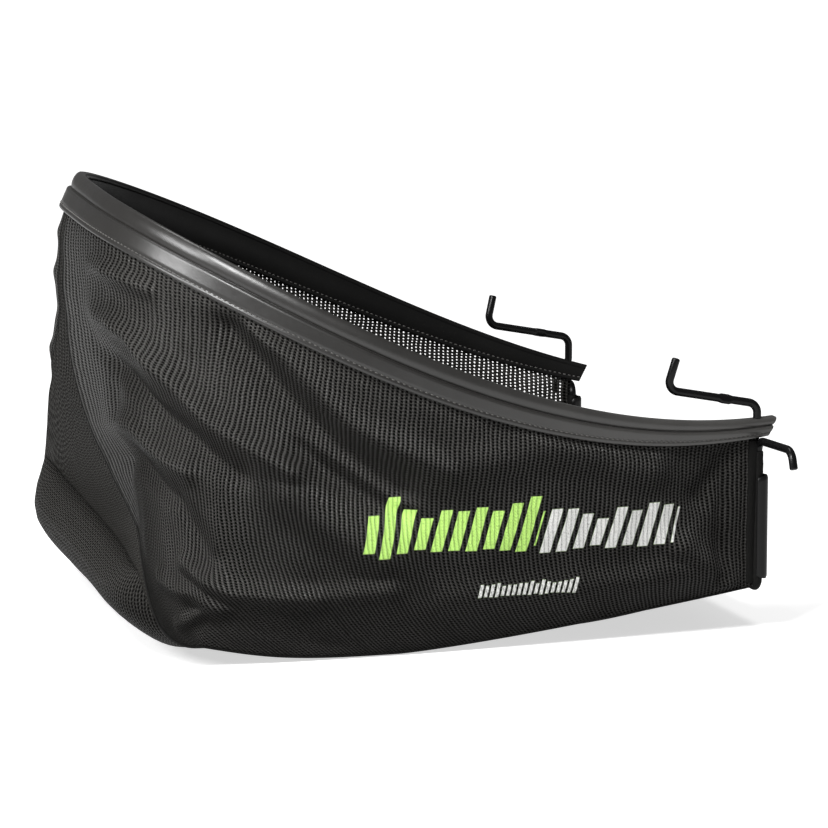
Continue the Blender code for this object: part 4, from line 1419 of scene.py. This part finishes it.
def make_floor():
    nodes = Nodes("pale_floor")
    nodes.set(Base_Color=(0.80, 0.80, 0.80), Roughness=0.9, Specular_IOR_Level=0.0)
    path = nodes.add("ShaderNodeLightPath")
    mirrored = nodes.times(path.outputs["Is Glossy Ray"], MIRRORED_GLOW)
    seen = nodes.math("MAXIMUM", path.outputs["Is Camera Ray"], path.outputs["Is Transmission Ray"])
    seen = nodes.math("MAXIMUM", seen, mirrored)
    away = nodes.add("ShaderNodeVectorMath", operation="LENGTH")
    nodes.put(nodes.place(), away.inputs[0])
    glow = nodes.number(nodes.step(away.outputs["Value"], 0.6, 4.0), FLOOR_GLOW, 1.0)
    nodes.set(Emission_Color=(1, 1, 1, 1))
    nodes.set(Emission_Strength=nodes.times(seen, glow))
    bpy.ops.mesh.primitive_plane_add(size=90, location=(0, 0, -0.0002))
    floor = bpy.context.active_object
    floor.name = "floor"
    floor.data.materials.append(nodes.material)


def aim(item, direction):
    item.rotation_euler = Vector(direction).to_track_quat("-Z", "Y").to_euler()


def make_softbox(name, direction, distance, size, power):
    light = bpy.data.lights.new(name, "AREA")
    light.shape = "RECTANGLE"
    light.size, light.size_y = size
    light.energy = power
    item = add_item(name, light)
    direction = Vector(direction).normalized()
    item.location = Vector((0, 0, 0.15)) + direction * distance
    aim(item, -direction)


def make_stage():
    make_floor()
    world = bpy.data.worlds.new("studio")
    world.use_nodes = True
    background = world.node_tree.nodes["Background"]
    background.inputs["Color"].default_value = (1, 1, 1, 1)
    background.inputs["Strength"].default_value = WORLD_LIGHT
    bpy.context.scene.world = world
    for settings in SOFTBOXES:
        make_softbox(*settings)
    camera = bpy.data.cameras.new("camera")
    camera.sensor_width = 36
    camera.lens = CAMERA_LENS
    camera.clip_end = 200
    item = add_item("camera", camera)
    item.location = CAMERA_PLACE
    turn, tilt = CAMERA_TURN, CAMERA_TILT
    aim(item, (math.sin(turn) * math.cos(tilt), math.cos(turn) * math.cos(tilt), -math.sin(tilt)))
    bpy.context.scene.camera = item
    bpy.context.scene.view_settings.view_transform = "Standard"


# Everything together

def dress(item, slot, *nodes):
    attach(item, "root")
    if nodes:
        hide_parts(*nodes)
    return item


def main():
    cloth = make_mesh_cloth("knitted_mesh", rib_pitch=0.0036, row_pitch=0.0026,
                            clear_share=0.65, shine=0.4)
    printed = make_mesh_cloth("printed_mesh", printed=True)
    plain = make_mesh_cloth("plain_mesh", shine=0.3)
    # The rear and floor knits are darker copies of the cloth: painted shade
    rear_cloth = make_mesh_cloth("rear_knit", rib_pitch=0.0056, row_pitch=0.0028, open_share=0.95,
                                 shine=0.04, relief=0.0003, painted_shade_tone=0.85, sheen=0.0)
    floor_cloth = make_mesh_cloth("floor_knit", rib_pitch=0.0036, row_pitch=0.0026, shine=0.20,
                                  relief=0.0006, painted_shade_tone=0.60, sheen=0.0)
    steel = make_steel("coated_steel")
    # The rim's lighter front colour is painted light, standing in for the floor's reflection
    plastic = make_plastic("rim_plastic", (0.014, 0.0135, 0.0128), (0.026, 0.025, 0.0237), 0.22, 0.40,
                           front=(0.070, 0.068, 0.065))
    # A darker, less glossy copy of the rim plastic for its inner faces: painted shade
    rim_inside_painted_shade = make_plastic("rim_inside_painted_shade", (0.004, 0.004, 0.004), (0.008, 0.0078, 0.0075), 0.35, 0.50,
                              specular=0.15)
    clip_plastic = make_plastic("clip_black", (0.004, 0.004, 0.004), (0.007, 0.007, 0.007), 0.26, 0.36,
                                specular=0.22)
    binding = make_binding("woven_binding", (0.003, 0.0029, 0.0027), (0.010, 0.0097, 0.0090))
    thread = make_thread("sewing_thread")

    right, right_grid = make_side_panel("right_mesh", RIGHT, plain, printed)
    left, left_grid = make_side_panel("left_mesh", LEFT, cloth)
    rear, rear_grid = make_rear_panel("rear_mesh", rear_cloth)
    floor, floor_grid = make_floor_panel("floor_mesh", floor_cloth)
    dress(right, "black_mesh_cloth", "right_side_panel")
    dress(left, "black_mesh_cloth", "left_side_panel")
    dress(rear, "black_mesh_cloth", "rear_panel")
    dress(floor, "black_mesh_cloth", "floor_panel")

    seams = make_seams(right_grid, left_grid, rear_grid, binding)
    for seam in seams:
        dress(seam, "black_mesh_cloth")
    hems = [make_edge_hem("right_edge_hem", RIGHT, binding), make_edge_hem("left_edge_hem", LEFT, binding)]
    for hem in hems:
        dress(hem, "black_binding")

    channel = dress(make_channel("rim_band", plastic, rim_inside_painted_shade), "black_plastic", "rim_channel")
    stitches = dress(make_rim_stitches("rim_stitches", thread), "black_binding")
    dress(make_top_rod("top_rod", steel), "black_steel", "top_frame_rod")
    dress(make_front_rod("front_rod", steel), "black_steel", "front_frame_rod")
    sleeves = [make_edge_sleeve("right_sleeve", RIGHT, binding),
               make_edge_sleeve("left_sleeve", LEFT, binding)]
    dress(sleeves[0], "black_binding", "right_edge_sleeve")
    dress(sleeves[1], "black_binding", "left_edge_sleeve")
    bottom = dress(make_floor_hem("bottom_hem", binding), "black_binding", "floor_hem_sleeve")
    dress(make_edge_clip("right_clip", RIGHT, clip_plastic), "clip_plastic", "right_edge_clip")
    dress(make_edge_clip("left_clip", LEFT, clip_plastic), "clip_plastic", "left_edge_clip")

    for panel, grid, others in ((right, right_grid, [hems[0], sleeves[0]]),
                                (left, left_grid, [hems[1], sleeves[1]]),
                                (rear, rear_grid, seams), (floor, floor_grid, [bottom])):
        width = max(sum((b[j] - a[j]).length for a, b in zip(grid, grid[1:])) for j in range(len(grid[0])))
        length = max(running_lengths(column)[-1] for column in grid)
        area = min(grid_area(grid), width * length)
        width = min(width, area / length * WIDTH_LIMIT)
    make_stage()


main()
